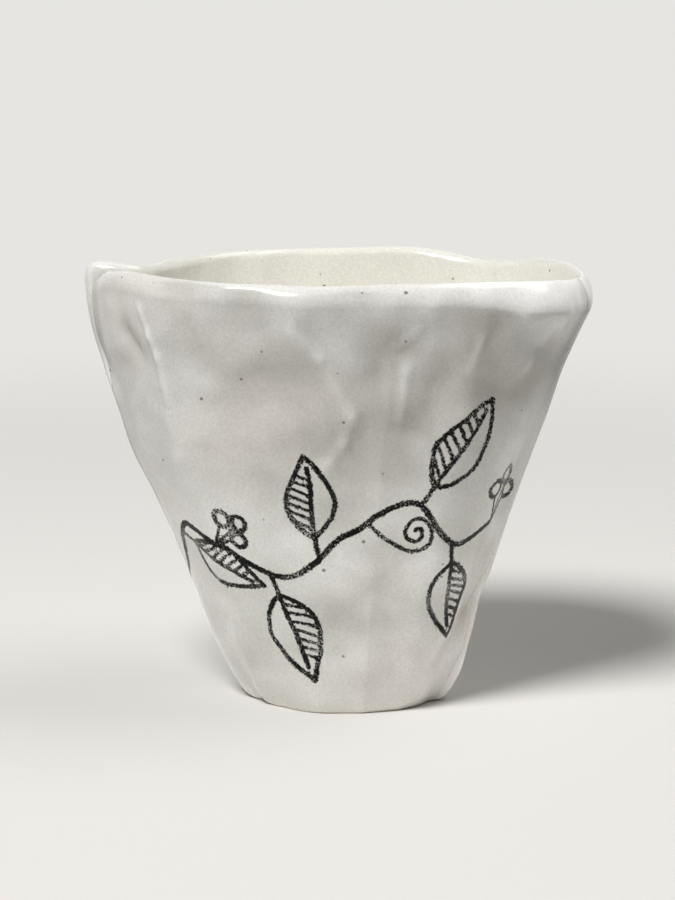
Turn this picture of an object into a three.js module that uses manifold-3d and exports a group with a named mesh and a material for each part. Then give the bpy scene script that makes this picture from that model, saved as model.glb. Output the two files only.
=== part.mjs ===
// A slab-built cup. Two bent wall slabs stand round a floor slab. They meet in a seam on the left, which
// is pinched into a fin at the rim and smoothed over below, and in a lapped seam at the right front.
// Soft coils are pressed into the corners inside.
// Millimetres, +Z up. The origin is the middle of the underside, and the front of the cup faces -Y.

import * as THREE from "three";
import { LoftGeometry } from "three/addons/geometries/LoftGeometry.js";
import { mergeVertices } from "three/addons/utils/BufferGeometryUtils.js";
import Module from "manifold-3d";

const wasm = await Module();
wasm.setup();

// Driving dimensions
const cupHeight = 86;
const rimWidth = 100; // over the pinched seam and the lapped one
const rimDepth = 78;
const footWidth = 43; // where the sloping walls would meet the table if the foot were not rounded
const footDepth = 40;
const leftBow = 3.7; // how far the left side swells out
const leftBowRise = 2.5; // the more, the higher up
const rightBow = -2; // the right side is a little hollow
const wallThickness = 4.6;
const floorThickness = 6;
const footRadius = 6; // the walls turn under with this radius
const footLine = -0.5; // from this place across their thickness, where -1 is inside and 1 outside
const footTuck = 0.1; // they draw in by this share of their plan
const tuckHeight = 12; // from this height down
const earRadius = 4.5; // upper corners of each wall slab
const finLow = 40; // the left seam starts to stand out as a fin at this height
const finHigh = 70; // and is a full one from here up
const finSwell = 1; // it swells out by this much as it grows
const grooveLength = 14; // below the rim the pinched seam is open as a groove for this far
const grooveFade = 9; // and smoothed over within this far below that
const seamFeather = 10; // there each slab thins out over this far
const seamFullness = 3; // and this fully
const floorCoilRadius = 5;
const seamCoilRadius = 3.4;
const seamCoilDrop = 13; // from the rim down to the end of a seam coil
const clearance = 0.3; // between pieces that were pressed together

// How finely the slabs are divided
const stationStep = 4; // along a wall slab
const endSteps = 6; // round each end of it
const rowStep = 6; // up a wall slab
const roundSteps = 4; // over each rounded edge
const ringSteps = 48; // round the floor
const coilSteps = 10; // up a seam coil
const coilSides = 20; // round a seam coil

// Half sizes of the line that runs in the middle of the wall's thickness
const rimHalf = new THREE.Vector2(rimWidth - wallThickness, rimDepth - wallThickness).divideScalar(2);
const footHalf = new THREE.Vector2(footWidth - wallThickness, footDepth - wallThickness).divideScalar(2);

// Two slabs that lie face to face have their middle lines this far to either side of the joint.
const pairOffset = (wallThickness + clearance) / 2;
const rimPair = pairOffset / rimHalf.y;

// A middle line in plan, through points that are given as shares of the half sizes.
function planLine(half, points) {
  return new THREE.SplineCurve(points.map(([x, y]) => new THREE.Vector2(x * half.x, y * half.y)));
}

// A smooth curve through heights above the rim, which are spread evenly along a slab.
function heightLine(heights) {
  return new THREE.SplineCurve(heights.map((height, i) => new THREE.Vector2(i, height)));
}

// The front slab runs from the pinched seam on the left to the lapped seam at the right front.
// Each slab has its line at the rim, the one that it would have there without the fin, and one at the foot.
const frontSlab = {
  pinchedFirst: true, // its first end is the pinched one
  rim: planLine(rimHalf, [
    [-1.03, -rimPair],
    [-0.93, -0.09],
    [-0.83, -0.36],
    [-0.68, -0.7],
    [-0.47, -0.92],
    [-0.16, -1],
    [0.22, -1],
    [0.6, -0.92],
    [0.84, -0.74],
    [0.975, -0.41],
  ]),
  belly: planLine(rimHalf, [
    [-1, -0.14],
    [-0.92, -0.46],
    [-0.76, -0.74],
    [-0.5, -0.93],
    [-0.16, -1],
    [0.22, -1],
    [0.6, -0.92],
    [0.84, -0.74],
    [0.975, -0.41],
  ]),
  foot: planLine(footHalf, [
    [-0.97, -0.02],
    [-0.78, -0.56],
    [-0.42, -0.92],
    [0, -1],
    [0.42, -0.92],
    [0.72, -0.72],
    [0.96, -0.29],
  ]),
  rimWave: heightLine([0.4, -0.2, -1, -0.6, -1.2, -0.2, -0.4, -1.6, -3.4]),
  // Presses of a thumb, from one place to another, each a share of the length and a height, then the
  // reach and the depth. A ridge left between two presses has a depth below zero.
  presses: [
    [[0.08, 73], [0.11, 67], 4, 0.9],
    [[0.15, 80], [0.19, 62], 3.5, -0.5],
    [[0.42, 67.5], [0.475, 66.5], 7, 0.9],
    [[0.47, 78], [0.565, 61], 4, -0.5],
    [[0.565, 61], [0.52, 50], 4, -0.4],
    [[0.665, 78], [0.615, 71], 5, 0.9],
    [[0.71, 68], [0.71, 68], 5, 1],
    [[0.68, 60], [0.68, 60], 6, 0.9],
    [[0.6, 55], [0.6, 55], 8, 1],
    [[0.78, 76], [0.795, 70], 5.5, 0.9],
    [[0.82, 67], [0.82, 67], 6, 0.8],
    [[0.9, 77], [0.9, 77], 6, 0.8],
    [[0.5, 20], [0.5, 20], 9, 0.7],
    [[0.96, 23], [0.86, 13], 4, 1.4],
    [[0.1, 4], [0.3, 2], 6, 1.3],
    [[0.8, 0], [0.95, 0], 5, 0.8],
  ],
};

// The back slab runs from the lapped seam, round the right side and the back, to the pinched seam.
const backSlab = {
  pinchedFirst: false,
  rim: planLine(rimHalf, [
    [0.965, -0.52],
    [1, -0.1],
    [0.9, 0.46],
    [0.58, 0.9],
    [0.05, 1],
    [-0.46, 0.91],
    [-0.75, 0.52],
    [-0.87, rimPair],
    [-1.08, rimPair],
  ]),
  belly: planLine(rimHalf, [
    [0.965, -0.52],
    [1, -0.1],
    [0.9, 0.46],
    [0.58, 0.9],
    [0.05, 1],
    [-0.46, 0.92],
    [-0.81, 0.62],
    [-1, 0.2],
    [-1.03, -0.12],
    [-0.95, -0.4],
  ]),
  foot: planLine(footHalf, [
    [0.95, -0.45],
    [1, 0.02],
    [0.84, 0.56],
    [0.44, 0.91],
    [0, 1],
    [-0.42, 0.92],
    [-0.8, 0.56],
    [-0.985, 0.06],
    [-0.9, -0.4],
  ]),
  rimWave: heightLine([-3, -0.8, -0.4, -1.4, 1, 0.8, 0.3, 0, -0.5, 0.8]),
  presses: [
    [[0.18, 54], [0.2, 44], 9, 1],
    [[0.32, 64], [0.34, 62], 9, 0.9],
    [[0.42, 44], [0.46, 38], 9, 0.9],
    [[0.52, 70], [0.56, 62], 8, 0.9],
    [[0.62, 56], [0.66, 44], 8, -0.5],
    [[0.68, 48], [0.7, 40], 9, 1],
    [[0.8, 64], [0.81, 56], 8, 1],
    [[0.93, 39], [0.93, 38], 6, 1],
    [[0.4, 20], [0.42, 20], 8, 0.8],
    [[0.72, 19], [0.74, 19], 8, 0.8],
  ],
};

// A point on a plan line, which runs straight on past its ends.
function planPoint(line, share) {
  const held = THREE.MathUtils.clamp(share, 0, 1);
  return line.getPointAt(held).addScaledVector(line.getTangentAt(held), (share - held) * line.getLength());
}

// The walls draw in a little just above the table: a share of their plan size.
function tuck(height) {
  const low = THREE.MathUtils.clamp(1 - height / tuckHeight, 0, 1);
  return 1 - footTuck * low * low;
}

// A point in the middle of a slab's thickness, at a share of its length and a height.
function middlePoint(slab, share, height) {
  const rise = height / cupHeight;
  const fin = THREE.MathUtils.smoothstep(height, finLow, finHigh);
  const upper = planPoint(slab.belly, share).lerp(planPoint(slab.rim, share), fin);
  const plan = planPoint(slab.foot, share).lerp(upper, rise);
  const side = plan.x / THREE.MathUtils.lerp(footHalf.x, rimHalf.x, rise);
  const swell = 4 * finSwell * fin * (1 - fin);
  const leftOut = leftBow * Math.sin(Math.PI * Math.max(rise, 0) ** leftBowRise) + swell;
  const bow = side < 0 ? leftOut : rightBow * Math.sin(Math.PI * rise);
  plan.x += bow * side * Math.abs(side);
  plan.multiplyScalar(tuck(height));
  const held = THREE.MathUtils.clamp(share, 0, 1);
  const along = slab.belly.getTangentAt(held).lerp(slab.rim.getTangentAt(held), fin).normalize();
  plan.add(new THREE.Vector2(-along.y, along.x).multiplyScalar(pressedIn(slab, share, height)));
  return new THREE.Vector3(plan.x, plan.y, height);
}

// How far the presses push a slab inwards at a share of its length and a height.
function pressedIn(slab, share, height) {
  const length = THREE.MathUtils.lerp(slab.foot.getLength(), slab.rim.getLength(), height / cupHeight);
  const here = new THREE.Vector3(share * length, height, 0);
  let depthHere = 0;
  for (const [from, to, reach, depth] of slab.presses) {
    const [start, end] = [from, to].map((place) => new THREE.Vector3(place[0] * length, place[1], 0));
    const nearest = new THREE.Line3(start, end).closestPointToPoint(here, true, new THREE.Vector3());
    depthHere += depth * Math.exp(-((nearest.distanceTo(here) / reach) ** 2));
  }
  return depthHere;
}

// The pinched seam at a height: 1 where it is an open groove, 0 where it is smoothed over.
function grooveAt(height) {
  return THREE.MathUtils.smoothstep(height, cupHeight - grooveLength - grooveFade, cupHeight - grooveLength);
}

// The outward direction of a slab, square to its middle surface.
function outward(slab, share, height) {
  const nudge = 1e-3;
  const along = middlePoint(slab, share + nudge, height).sub(middlePoint(slab, share - nudge, height));
  const up = middlePoint(slab, share, height + nudge).sub(middlePoint(slab, share, height - nudge));
  return along.cross(up).normalize();
}

// How far a rounded edge of this radius has fallen away at a distance from the edge. A fullness of 2
// makes it a circle, and more makes it fuller.
function roundOff(distance, radius, fullness = 2) {
  const into = Math.max(0, 1 - distance / radius);
  return radius * (1 - Math.max(0, 1 - into ** fullness) ** (1 / fullness));
}

// Stations along a run, each with its distances from the first end and from the last. They follow the
// rounding of both ends evenly and step on between them.
function stations(run, radius) {
  const nearEnd = [];
  for (let i = 0; i <= endSteps; i++) nearEnd.push(radius * (1 - Math.cos((i / endSteps) * (Math.PI / 2))));
  const between = [];
  const count = Math.ceil((run - 2 * radius) / stationStep);
  for (let i = 1; i < count; i++) between.push(radius + ((run - 2 * radius) * i) / count);
  return [
    ...nearEnd.map((distance) => ({ first: distance, last: run - distance })),
    ...between.map((distance) => ({ first: distance, last: run - distance })),
    ...nearEnd.reverse().map((distance) => ({ first: run - distance, last: distance })),
  ];
}

// The closed section of a slab at one station: up the inside, over the lip, down the outside.
// Each level has a height and a place across the thickness, from 1 outside to -1 inside.
// An open end is half round. Where the pinched seam is smoothed over, it thins out to the inside.
function sectionAt(slab, station, margin) {
  const run = slab.rim.getLength();
  const half = wallThickness / 2 + margin;
  const share = (station.first - margin) / run;
  const fromEnd = Math.min(station.first, station.last);
  const fromPinch = slab.pinchedFirst ? station.first : station.last;
  const wave = slab.rimWave.getPoint(THREE.MathUtils.clamp(share, 0, 1)).y;
  const top = cupHeight + wave + margin - roundOff(fromEnd, earRadius);
  const bottom = -half;
  const knee = bottom + footRadius;
  const shoulder = top - half;
  const levels = [];
  for (let i = 0; i < roundSteps; i++) {
    const turn = (i / roundSteps) * (Math.PI / 2);
    const outer = THREE.MathUtils.lerp(footLine, 1, Math.sin(turn));
    levels.push({ height: bottom + footRadius * (1 - Math.cos(turn)), outer, inner: -1 });
  }
  const rows = Math.ceil((cupHeight - footRadius) / rowStep);
  for (let i = 0; i < rows; i++) {
    levels.push({ height: knee + ((shoulder - knee) * i) / rows, outer: 1, inner: -1 });
  }
  for (let i = 0; i < roundSteps; i++) {
    const turn = (i / roundSteps) * (Math.PI / 2);
    levels.push({ height: shoulder + half * Math.sin(turn), outer: Math.cos(turn), inner: -Math.cos(turn) });
  }
  const place = (height, across) => {
    const open = fromPinch > fromEnd ? 1 : grooveAt(height);
    const rounded = across * (half - roundOff(fromEnd, half));
    const thinned = (2 * half * roundOff(fromEnd, seamFeather, seamFullness)) / seamFeather;
    const smoothed = THREE.MathUtils.lerp(-half, half - thinned, (across + 1) / 2);
    const offset = THREE.MathUtils.lerp(smoothed, rounded, open);
    return middlePoint(slab, share, height).addScaledVector(outward(slab, share, height), offset);
  };
  const outside = levels.map((level) => place(level.height, level.outer));
  const inside = levels.map((level) => place(level.height, level.inner));
  return [...inside, place(top, 0), ...outside.reverse()];
}

// A wall slab, grown on every side by a margin.
function wallSlab(slab, margin) {
  const run = slab.rim.getLength() + 2 * margin;
  const along = stations(run, wallThickness + 2 * margin);
  return solidOf(new LoftGeometry(along.map((station) => sectionAt(slab, station, margin))));
}

// A geometry as a solid, with its shared vertices welded and its collapsed triangles dropped.
function solidOf(geometry) {
  const bare = new THREE.BufferGeometry();
  bare.setAttribute("position", geometry.getAttribute("position"));
  bare.setIndex(geometry.index);
  const welded = mergeVertices(bare, 1e-4);
  const corners = welded.index.array;
  const kept = [];
  for (let i = 0; i < corners.length; i += 3) {
    const [a, b, c] = corners.subarray(i, i + 3);
    if (a !== b && b !== c && c !== a) kept.push(a, b, c);
  }
  const mesh = new wasm.Mesh({
    numProp: 3,
    vertProperties: welded.getAttribute("position").array,
    triVerts: new Uint32Array(kept),
  });
  return new wasm.Manifold(mesh);
}

// A cut can leave a crumb in a joint, so a piece is the largest body of what is left.
function largest(solid) {
  return solid.decompose().sort((one, other) => other.volume() - one.volume())[0];
}

// A solid back as a geometry.
function geometryOf(solid) {
  const mesh = solid.getMesh();
  const geometry = new THREE.BufferGeometry();
  geometry.setAttribute("position", new THREE.BufferAttribute(mesh.vertProperties, 3));
  geometry.setIndex(new THREE.BufferAttribute(mesh.triVerts, 1));
  geometry.computeVertexNormals();
  return geometry;
}

// The table, as a block that cuts the foot flat.
function tableBlock() {
  const depth = 2 * wallThickness;
  const block = new THREE.BoxGeometry(2 * rimWidth, 2 * rimDepth, depth);
  return solidOf(block.translate(0, 0, -depth / 2));
}

// Half sizes of the wall's inside face at a height, taken as an oval.
function insideHalf(height) {
  const across = wallThickness / 2 / Math.cos(Math.atan2(rimWidth - footWidth, 2 * cupHeight));
  return footHalf.clone().lerp(rimHalf, height / cupHeight).multiplyScalar(tuck(height)).subScalar(across);
}

// The floor slab, a tapered oval that reaches half-way into the walls, to be cut back to them.
function floorSlab(margin) {
  const top = floorThickness + margin;
  const reach = wallThickness / 2;
  const disc = new THREE.CylinderGeometry(1, 1, top, ringSteps, 1);
  disc.rotateX(Math.PI / 2).translate(0, 0, top / 2);
  const place = disc.getAttribute("position");
  for (let i = 0; i < place.count; i++) {
    const half = insideHalf(place.getZ(i)).addScalar(reach);
    place.setXY(i, place.getX(i) * half.x, place.getY(i) * half.y);
  }
  return solidOf(disc);
}

// The coil in the corner of floor and walls: a quarter round that reaches into both, to be cut back.
function floorCoil(margin) {
  const radius = floorCoilRadius + margin;
  const deep = wallThickness / 2;
  const profile = [];
  for (let i = 0; i <= roundSteps; i++) {
    const turn = (i / roundSteps) * (Math.PI / 2);
    profile.push([radius * Math.cos(turn), floorThickness + radius * Math.sin(turn)]);
  }
  profile.push([-deep, floorThickness + radius], [-deep, floorThickness / 2], [radius, floorThickness / 2]);
  const sections = [];
  for (let i = 0; i <= ringSteps; i++) {
    const angle = ((i % ringSteps) / ringSteps) * 2 * Math.PI;
    sections.push(
      profile.map(([inset, height]) => {
        const half = insideHalf(height).subScalar(inset);
        return new THREE.Vector3(half.x * Math.cos(angle), half.y * Math.sin(angle), height);
      }),
    );
  }
  return solidOf(new LoftGeometry(sections));
}

// A coil up the inside of a seam, between two places given as shares of the foot and rim half sizes.
// It starts in the floor coil and ends in a round tip.
function seamCoil(footShare, rimShare) {
  const low = floorThickness + floorCoilRadius / 2;
  const high = cupHeight - seamCoilDrop - seamCoilRadius;
  const sections = [];
  const ring = (height, radius) => {
    const middle = new THREE.Vector2(...footShare).multiply(footHalf);
    middle.lerp(new THREE.Vector2(...rimShare).multiply(rimHalf), height / cupHeight);
    const section = [];
    for (let i = 0; i < coilSides; i++) {
      const angle = (i / coilSides) * 2 * Math.PI;
      const side = new THREE.Vector2(Math.cos(angle), Math.sin(angle)).multiplyScalar(radius).add(middle);
      section.push(new THREE.Vector3(side.x, side.y, height));
    }
    sections.push(section);
  };
  for (let i = 0; i < coilSteps; i++) ring(low + ((high - low) * i) / coilSteps, seamCoilRadius);
  for (let i = 0; i < roundSteps; i++) {
    const turn = (i / roundSteps) * (Math.PI / 2);
    ring(high + seamCoilRadius * Math.sin(turn), seamCoilRadius * Math.cos(turn));
  }
  return solidOf(new LoftGeometry(sections, { capStart: true, capEnd: true }));
}

const table = tableBlock();
const backWall = wallSlab(backSlab, 0).subtract(table);
const backRoom = wallSlab(backSlab, clearance);
const frontWall = largest(wallSlab(frontSlab, 0).subtract(backRoom).subtract(table));
const frontRoom = wallSlab(frontSlab, clearance);
const wallRoom = backRoom.add(frontRoom);
const floor = largest(floorSlab(0).subtract(wallRoom));
const corner = largest(floorCoil(0).subtract(wallRoom).subtract(floorSlab(clearance)));
const seamRoom = wallRoom.add(floorCoil(clearance));
const leftCoil = largest(seamCoil([-0.94, 0], [-0.92, 0]).subtract(seamRoom));
const rightCoil = largest(seamCoil([0.74, -0.34], [0.885, -0.43]).subtract(seamRoom));

// Glazed white clay, and the same clay bare where the kiln shelf touched it
const glazedClay = new THREE.MeshStandardMaterial({ color: "#dedcd3", roughness: 0.18, metalness: 0 });
const bareClay = new THREE.MeshStandardMaterial({ color: "#d6cfc0", roughness: 0.8, metalness: 0 });

function piece(name, solid, material) {
  const mesh = new THREE.Mesh(geometryOf(solid), material);
  mesh.name = name;
  return mesh;
}

const cup = new THREE.Group();
cup.add(piece("base_slab", floor, bareClay));
cup.add(piece("front_wall_slab", frontWall, glazedClay));
cup.add(piece("back_wall_slab", backWall, glazedClay));
cup.add(piece("base_seam_coil", corner, glazedClay));
cup.add(piece("left_seam_coil", leftCoil, glazedClay));
cup.add(piece("right_seam_coil", rightCoil, glazedClay));

export default cup;
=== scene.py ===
import math

import bmesh
import bpy
import numpy as np
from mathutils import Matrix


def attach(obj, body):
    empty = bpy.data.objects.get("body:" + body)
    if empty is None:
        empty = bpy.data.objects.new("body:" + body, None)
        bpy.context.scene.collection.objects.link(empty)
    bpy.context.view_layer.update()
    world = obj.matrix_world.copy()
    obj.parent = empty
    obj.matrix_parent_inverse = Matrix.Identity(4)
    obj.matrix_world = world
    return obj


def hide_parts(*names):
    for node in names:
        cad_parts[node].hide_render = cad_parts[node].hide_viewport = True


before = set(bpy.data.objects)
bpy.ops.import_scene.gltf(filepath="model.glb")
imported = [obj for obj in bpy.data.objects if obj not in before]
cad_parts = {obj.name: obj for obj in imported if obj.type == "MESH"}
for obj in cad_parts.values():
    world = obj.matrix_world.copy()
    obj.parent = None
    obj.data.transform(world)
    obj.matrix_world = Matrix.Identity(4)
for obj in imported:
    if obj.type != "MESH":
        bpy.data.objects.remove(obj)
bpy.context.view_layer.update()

mm = 0.001
scene = bpy.context.scene
scene.view_settings.view_transform = "Standard"


# Colours are written as sRGB hex and handed to the shaders as linear values.
def hexColour(text):
    values = [int(text[i:i + 2], 16) / 255 for i in (1, 3, 5)]
    linear = [v / 12.92 if v <= 0.04045 else ((v + 0.055) / 1.055) ** 2.4 for v in values]
    return (*linear, 1)


# Adds a node with its settings. A link is a socket to join to, or a value to set.
def addNode(tree, kind, links=None, **settings):
    node = tree.nodes.new(kind)
    for name, value in settings.items():
        setattr(node, name, value)
    for socket, source in (links or {}).items():
        if isinstance(source, bpy.types.NodeSocket):
            tree.links.new(source, node.inputs[socket])
        else:
            node.inputs[socket].default_value = source
    return node


# A Geometry Nodes tree with named inputs, and the node that they come out of.
def newTree(name, sockets):
    tree = bpy.data.node_groups.new(name, "GeometryNodeTree")
    tree.interface.new_socket("Geometry", in_out="OUTPUT", socket_type="NodeSocketGeometry")
    for socket, kind in {"Geometry": "Geometry", **sockets, "Material": "Material"}.items():
        tree.interface.new_socket(socket, in_out="INPUT", socket_type="NodeSocket" + kind)
    return tree, addNode(tree, "NodeGroupInput").outputs


# Every tree ends in realized instances with their material set.
def endTree(tree, given, geometry):
    real = addNode(tree, "GeometryNodeRealizeInstances", {"Geometry": geometry})
    dressed = addNode(tree, "GeometryNodeSetMaterial",
                      {"Geometry": real.outputs[0], "Material": given["Material"]})
    addNode(tree, "NodeGroupOutput", {"Geometry": dressed.outputs[0]})


# The plain mesh that a tree makes of an object. The modifier goes again.
def nodesMesh(piece, tree, inputs):
    modifier = piece.modifiers.new(tree.name, "NODES")
    modifier.node_group = tree
    sockets = {item.name: item.identifier for item in tree.interface.items_tree if item.in_out == "INPUT"}
    for name, value in inputs.items():
        modifier[sockets[name]] = value
    depsgraph = bpy.context.evaluated_depsgraph_get()
    made = bpy.data.meshes.new_from_object(
        piece.evaluated_get(depsgraph), preserve_all_data_layers=True, depsgraph=depsgraph)
    piece.modifiers.remove(modifier)
    return made


def wearMesh(piece, mesh):
    old = piece.data
    piece.data = mesh
    bpy.data.meshes.remove(old)
    mesh.name = piece.name


def placed(name, mesh):
    piece = bpy.data.objects.new(name, mesh)
    scene.collection.objects.link(piece)
    return piece


def discard(piece):
    mesh = piece.data
    bpy.data.objects.remove(piece)
    bpy.data.meshes.remove(mesh)


def lerp(start, end, share):
    return start + (end - start) * share


def smoothStep(value, low, high):
    share = np.clip((value - low) / (high - low), 0, 1)
    return share * share * (3 - 2 * share)


# How far a rounded edge has fallen away at a distance from it. A fullness of 2 is a circle, more is boxier.
def roundOff(distance, radius, fullness=2):
    into = np.clip(1 - distance / radius, 0, 1)
    return radius * (1 - np.clip(1 - into ** fullness, 0, 1) ** (1 / fullness))


# The cup: its sizes in millimetres, and how its slabs end and meet
cup = {
    "height": 86,
    "rimWidth": 100,
    "rimDepth": 78,
    "footWidth": 43,
    "footDepth": 40,
    "leftBow": 3.7,
    "leftBowRise": 2.5,
    "rightBow": -2,
    "wall": 4.6,
    "floor": 6,
    "footRadius": 6,
    "footLine": -0.5,
    "footTuck": 0.1,
    "tuckHeight": 12,
    "finLow": 40,
    "finHigh": 70,
    "finSwell": 1,
    "grooveLength": 11,
    "grooveFade": 14,
    "seamFeather": 12,
    "seamFullness": 2.3,
    "endThin": 0.97,      # share of the thickness that is gone at a slab's very end
    "seamPress": 0.1,     # the slabs are pressed this far into each other
    "lipThin": 0.1,       # share by which a slab's thickness wanders, as the lip shows
    "lipThinRun": (2, 14),    # distances from a slab's ends between which that sets in
    "lipWaves": 8,
    "lipWaveLength": (18, 45),
    "lipBevel": (1.1, 1.35),  # above 1 the rounding is flatter, more of a bevel
    "lipLean": (-0.3, -0.9),  # the lip's top stands inwards of the middle, by shares of half the wall
    "lipPaintedLight": (-0.2, 1.8),   # painted light on the lip: a little darker away from the lapped seam, much paler near it
    "lipPaintedLightFade": 1,
    "creamRun": (5, 14),      # distances from the pinched end between which the inside turns cream
    "edgePaintedShade": 2,            # painted shade along the slabs' edges in the groove, where a shadow falls
    "edgePaintedShadeRun": (2.6, 5.8),
    "lipChange": (18, 46),    # distances from the lapped seam between which the lip changes
    "seamLift": 1,            # the foot's corner at the pinched seam stands this far off the table
    "seamLiftRun": (8, 34),
    "seamLiftRise": 14,
    "lapLift": 0.7,           # and the corner at the lapped seam
    "lapLiftRun": (3, 16),
}
rimHalf = (np.array([cup["rimWidth"], cup["rimDepth"]]) - cup["wall"]) / 2
footHalf = (np.array([cup["footWidth"], cup["footDepth"]]) - cup["wall"]) / 2
# Where the slabs' middles lie in the fin at the pinched seam, as a share of the half depth
rimPair = (cup["wall"] - cup["seamPress"]) / 2 / rimHalf[1]
# How many points a smooth curve gets
curvePoints = {"plan": 3000, "lip": 1000, "stem": 120}


# A smooth curve through points, the tangents taken from the neighbouring points.
def smoothCurve(points, samples):
    knots = np.array(points, float)
    final = len(knots) - 1
    along = np.linspace(0, final, samples)
    step = np.minimum(along.astype(int), final - 1)
    part = (along - step)[:, None]
    start, end = knots[step], knots[step + 1]
    leave = (end - knots[np.maximum(step - 1, 0)]) / 2
    arrive = (knots[np.minimum(step + 2, final)] - start) / 2
    cubic = (2 * start - 2 * end + leave + arrive) * part ** 3
    square = (3 * end - 3 * start - 2 * leave - arrive) * part ** 2
    return cubic + square + leave * part + start


# A line in plan, through shares of the half sizes, to be read by share of its length.
def planLine(half, points):
    place = smoothCurve(np.array(points) * half, curvePoints["plan"])
    run = np.concatenate([[0], np.cumsum(np.linalg.norm(np.diff(place, axis=0), axis=1))])
    heading = np.gradient(place, axis=0)
    heading /= np.linalg.norm(heading, axis=1, keepdims=True)
    return {"share": run / run[-1], "place": place, "heading": heading, "length": run[-1]}


def alongLine(line, share, what):
    return np.stack([np.interp(share, line["share"], line[what][:, k]) for k in (0, 1)], -1)


# A point of a line, which runs straight on past its ends.
def planPoint(line, share):
    held = np.clip(share, 0, 1)
    past = (share - held) * line["length"]
    return alongLine(line, held, "place") + alongLine(line, held, "heading") * past[..., None]


# The front slab runs from the pinched seam on the left to the lapped seam at the right front. It has a line
# at the rim, the one that it would have there without the fin, and one at the foot.
# A press goes from one share and height to another, with a reach and a depth or the depths at its two ends;
# a ridge is below zero.
frontSlab = {
    "name": "frontWall",
    "node": "front_wall_slab",
    "pinchedFirst": True,
    "rim": planLine(rimHalf, [
        (-1.01, -rimPair), (-0.975, -0.17), (-0.905, -0.37), (-0.8, -0.58), (-0.65, -0.79), (-0.45, -0.94),
        (-0.16, -1), (0.22, -1), (0.6, -0.92), (0.85, -0.72), (0.99, -0.36)]),
    "belly": planLine(rimHalf, [
        (-1.04, -0.13), (-0.95, -0.46), (-0.77, -0.74), (-0.5, -0.93), (-0.16, -1), (0.22, -1),
        (0.6, -0.92), (0.85, -0.72), (0.99, -0.36)]),
    "foot": planLine(footHalf, [
        (-1, -0.04), (-0.82, -0.56), (-0.44, -0.92), (0, -1), (0.42, -0.92), (0.72, -0.72), (0.96, -0.29)]),
    "tipRise": (200, 201),    # above the rim, so the tip of its feathered end stays at the inside face
    "earRadius": 5.2,
    "lipFall": (3.4, 4.5),   # height of the lip's rounding outside, and near the lapped seam
    "rimWave": [-0.7, 0.4, 0, -0.3, -0.55, -0.15, -0.3, -1.1, -1.9],
    "lapRadius": 2,
    "lapPaintedShade": 0.55,         # painted shade on the clay's edge in the lapped seam's gap, where a shadow falls
    "presses": [
        ((0.96, 88), (1, 88), 11, -1),
        ((0.135, 74.8), (0.153, 71.8), 2.6, 1),
        ((0.258, 82), (0.27, 80), 5, 0.4),
        ((0.4, 67.5), (0.457, 66.5), 6, 1.1),
        ((0.61, 73.5), (0.6, 71), 5, 1.1),
        ((0.692, 68.3), (0.7, 68), 3.6, 1),
        ((0.66, 60), (0.66, 60), 5, 1.1),
        ((0.575, 55), (0.575, 55), 7, 1.2),
        ((0.765, 75), (0.78, 70), 5, 0.9),
        ((0.81, 65.5), (0.81, 65.5), 5, 0.9),
        ((0.89, 71), (0.9, 68), 6, 0.7),
        ((0.5, 20), (0.5, 20), 9, 0.7),
        ((0.985, 24), (0.845, 9.5), 2.8, (1.6, 0.6)),
        ((0.47, 53), (0.56, 51), 9, 0.5),
        ((0.1, 4), (0.3, 2), 6, 0.5),
        ((0.8, 0), (0.95, 0), 5, 0.3),
    ],
    # Finer marks that only the clay's skin has
    "skinPresses": [
        ((0.183, 80.5), (0.2, 75.3), 0.8, -0.34),
        ((0.2, 75.3), (0.21, 71.3), 0.8, -0.34),
        ((0.209, 71.3), (0.214, 62.5), 0.8, -0.34),
        ((0.448, 78), (0.49, 72.7), 1.3, -0.38),
        ((0.49, 72.7), (0.547, 61.5), 1.3, -0.38),
        ((0.547, 61.5), (0.53, 56), 1.3, -0.36),
        ((0.53, 56), (0.492, 50.5), 1.3, -0.32),
        ((0.637, 70), (0.633, 61), 1, -0.36),
        ((0.647, 78), (0.62, 75), 1.2, -0.32),
        ((0.45, 82), (0.5, 82), 3.5, -0.3),
        ((0.6, 81.5), (0.66, 81.5), 4, -0.5),
        ((0.82, 81), (0.9, 81), 4, -0.45),
        ((0.752, 76), (0.745, 70), 1, -0.25),
        ((0.86, 72), (0.84, 68), 1.5, -0.25),
        ((0.377, 80.5), (0.4, 80), 4, 0.4),
        ((0.36, 55), (0.38, 50), 4, 0.35),
        ((0.3, 72), (0.34, 66), 3.5, 0.35),
        ((0.24, 36), (0.26, 30), 5, -0.4),
        ((0.53, 34), (0.52, 28), 5, -0.35),
        ((0.72, 36), (0.74, 30), 5, -0.35),
    ],
    "stem": [(0.05, 26), (0.14, 38), (0.27, 33), (0.4, 29), (0.54, 38), (0.68, 44), (0.8, 35), (0.91, 39)],
    "step": 0.45,
    "rowStep": 0.45,
    "seed": 11,
}

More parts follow.
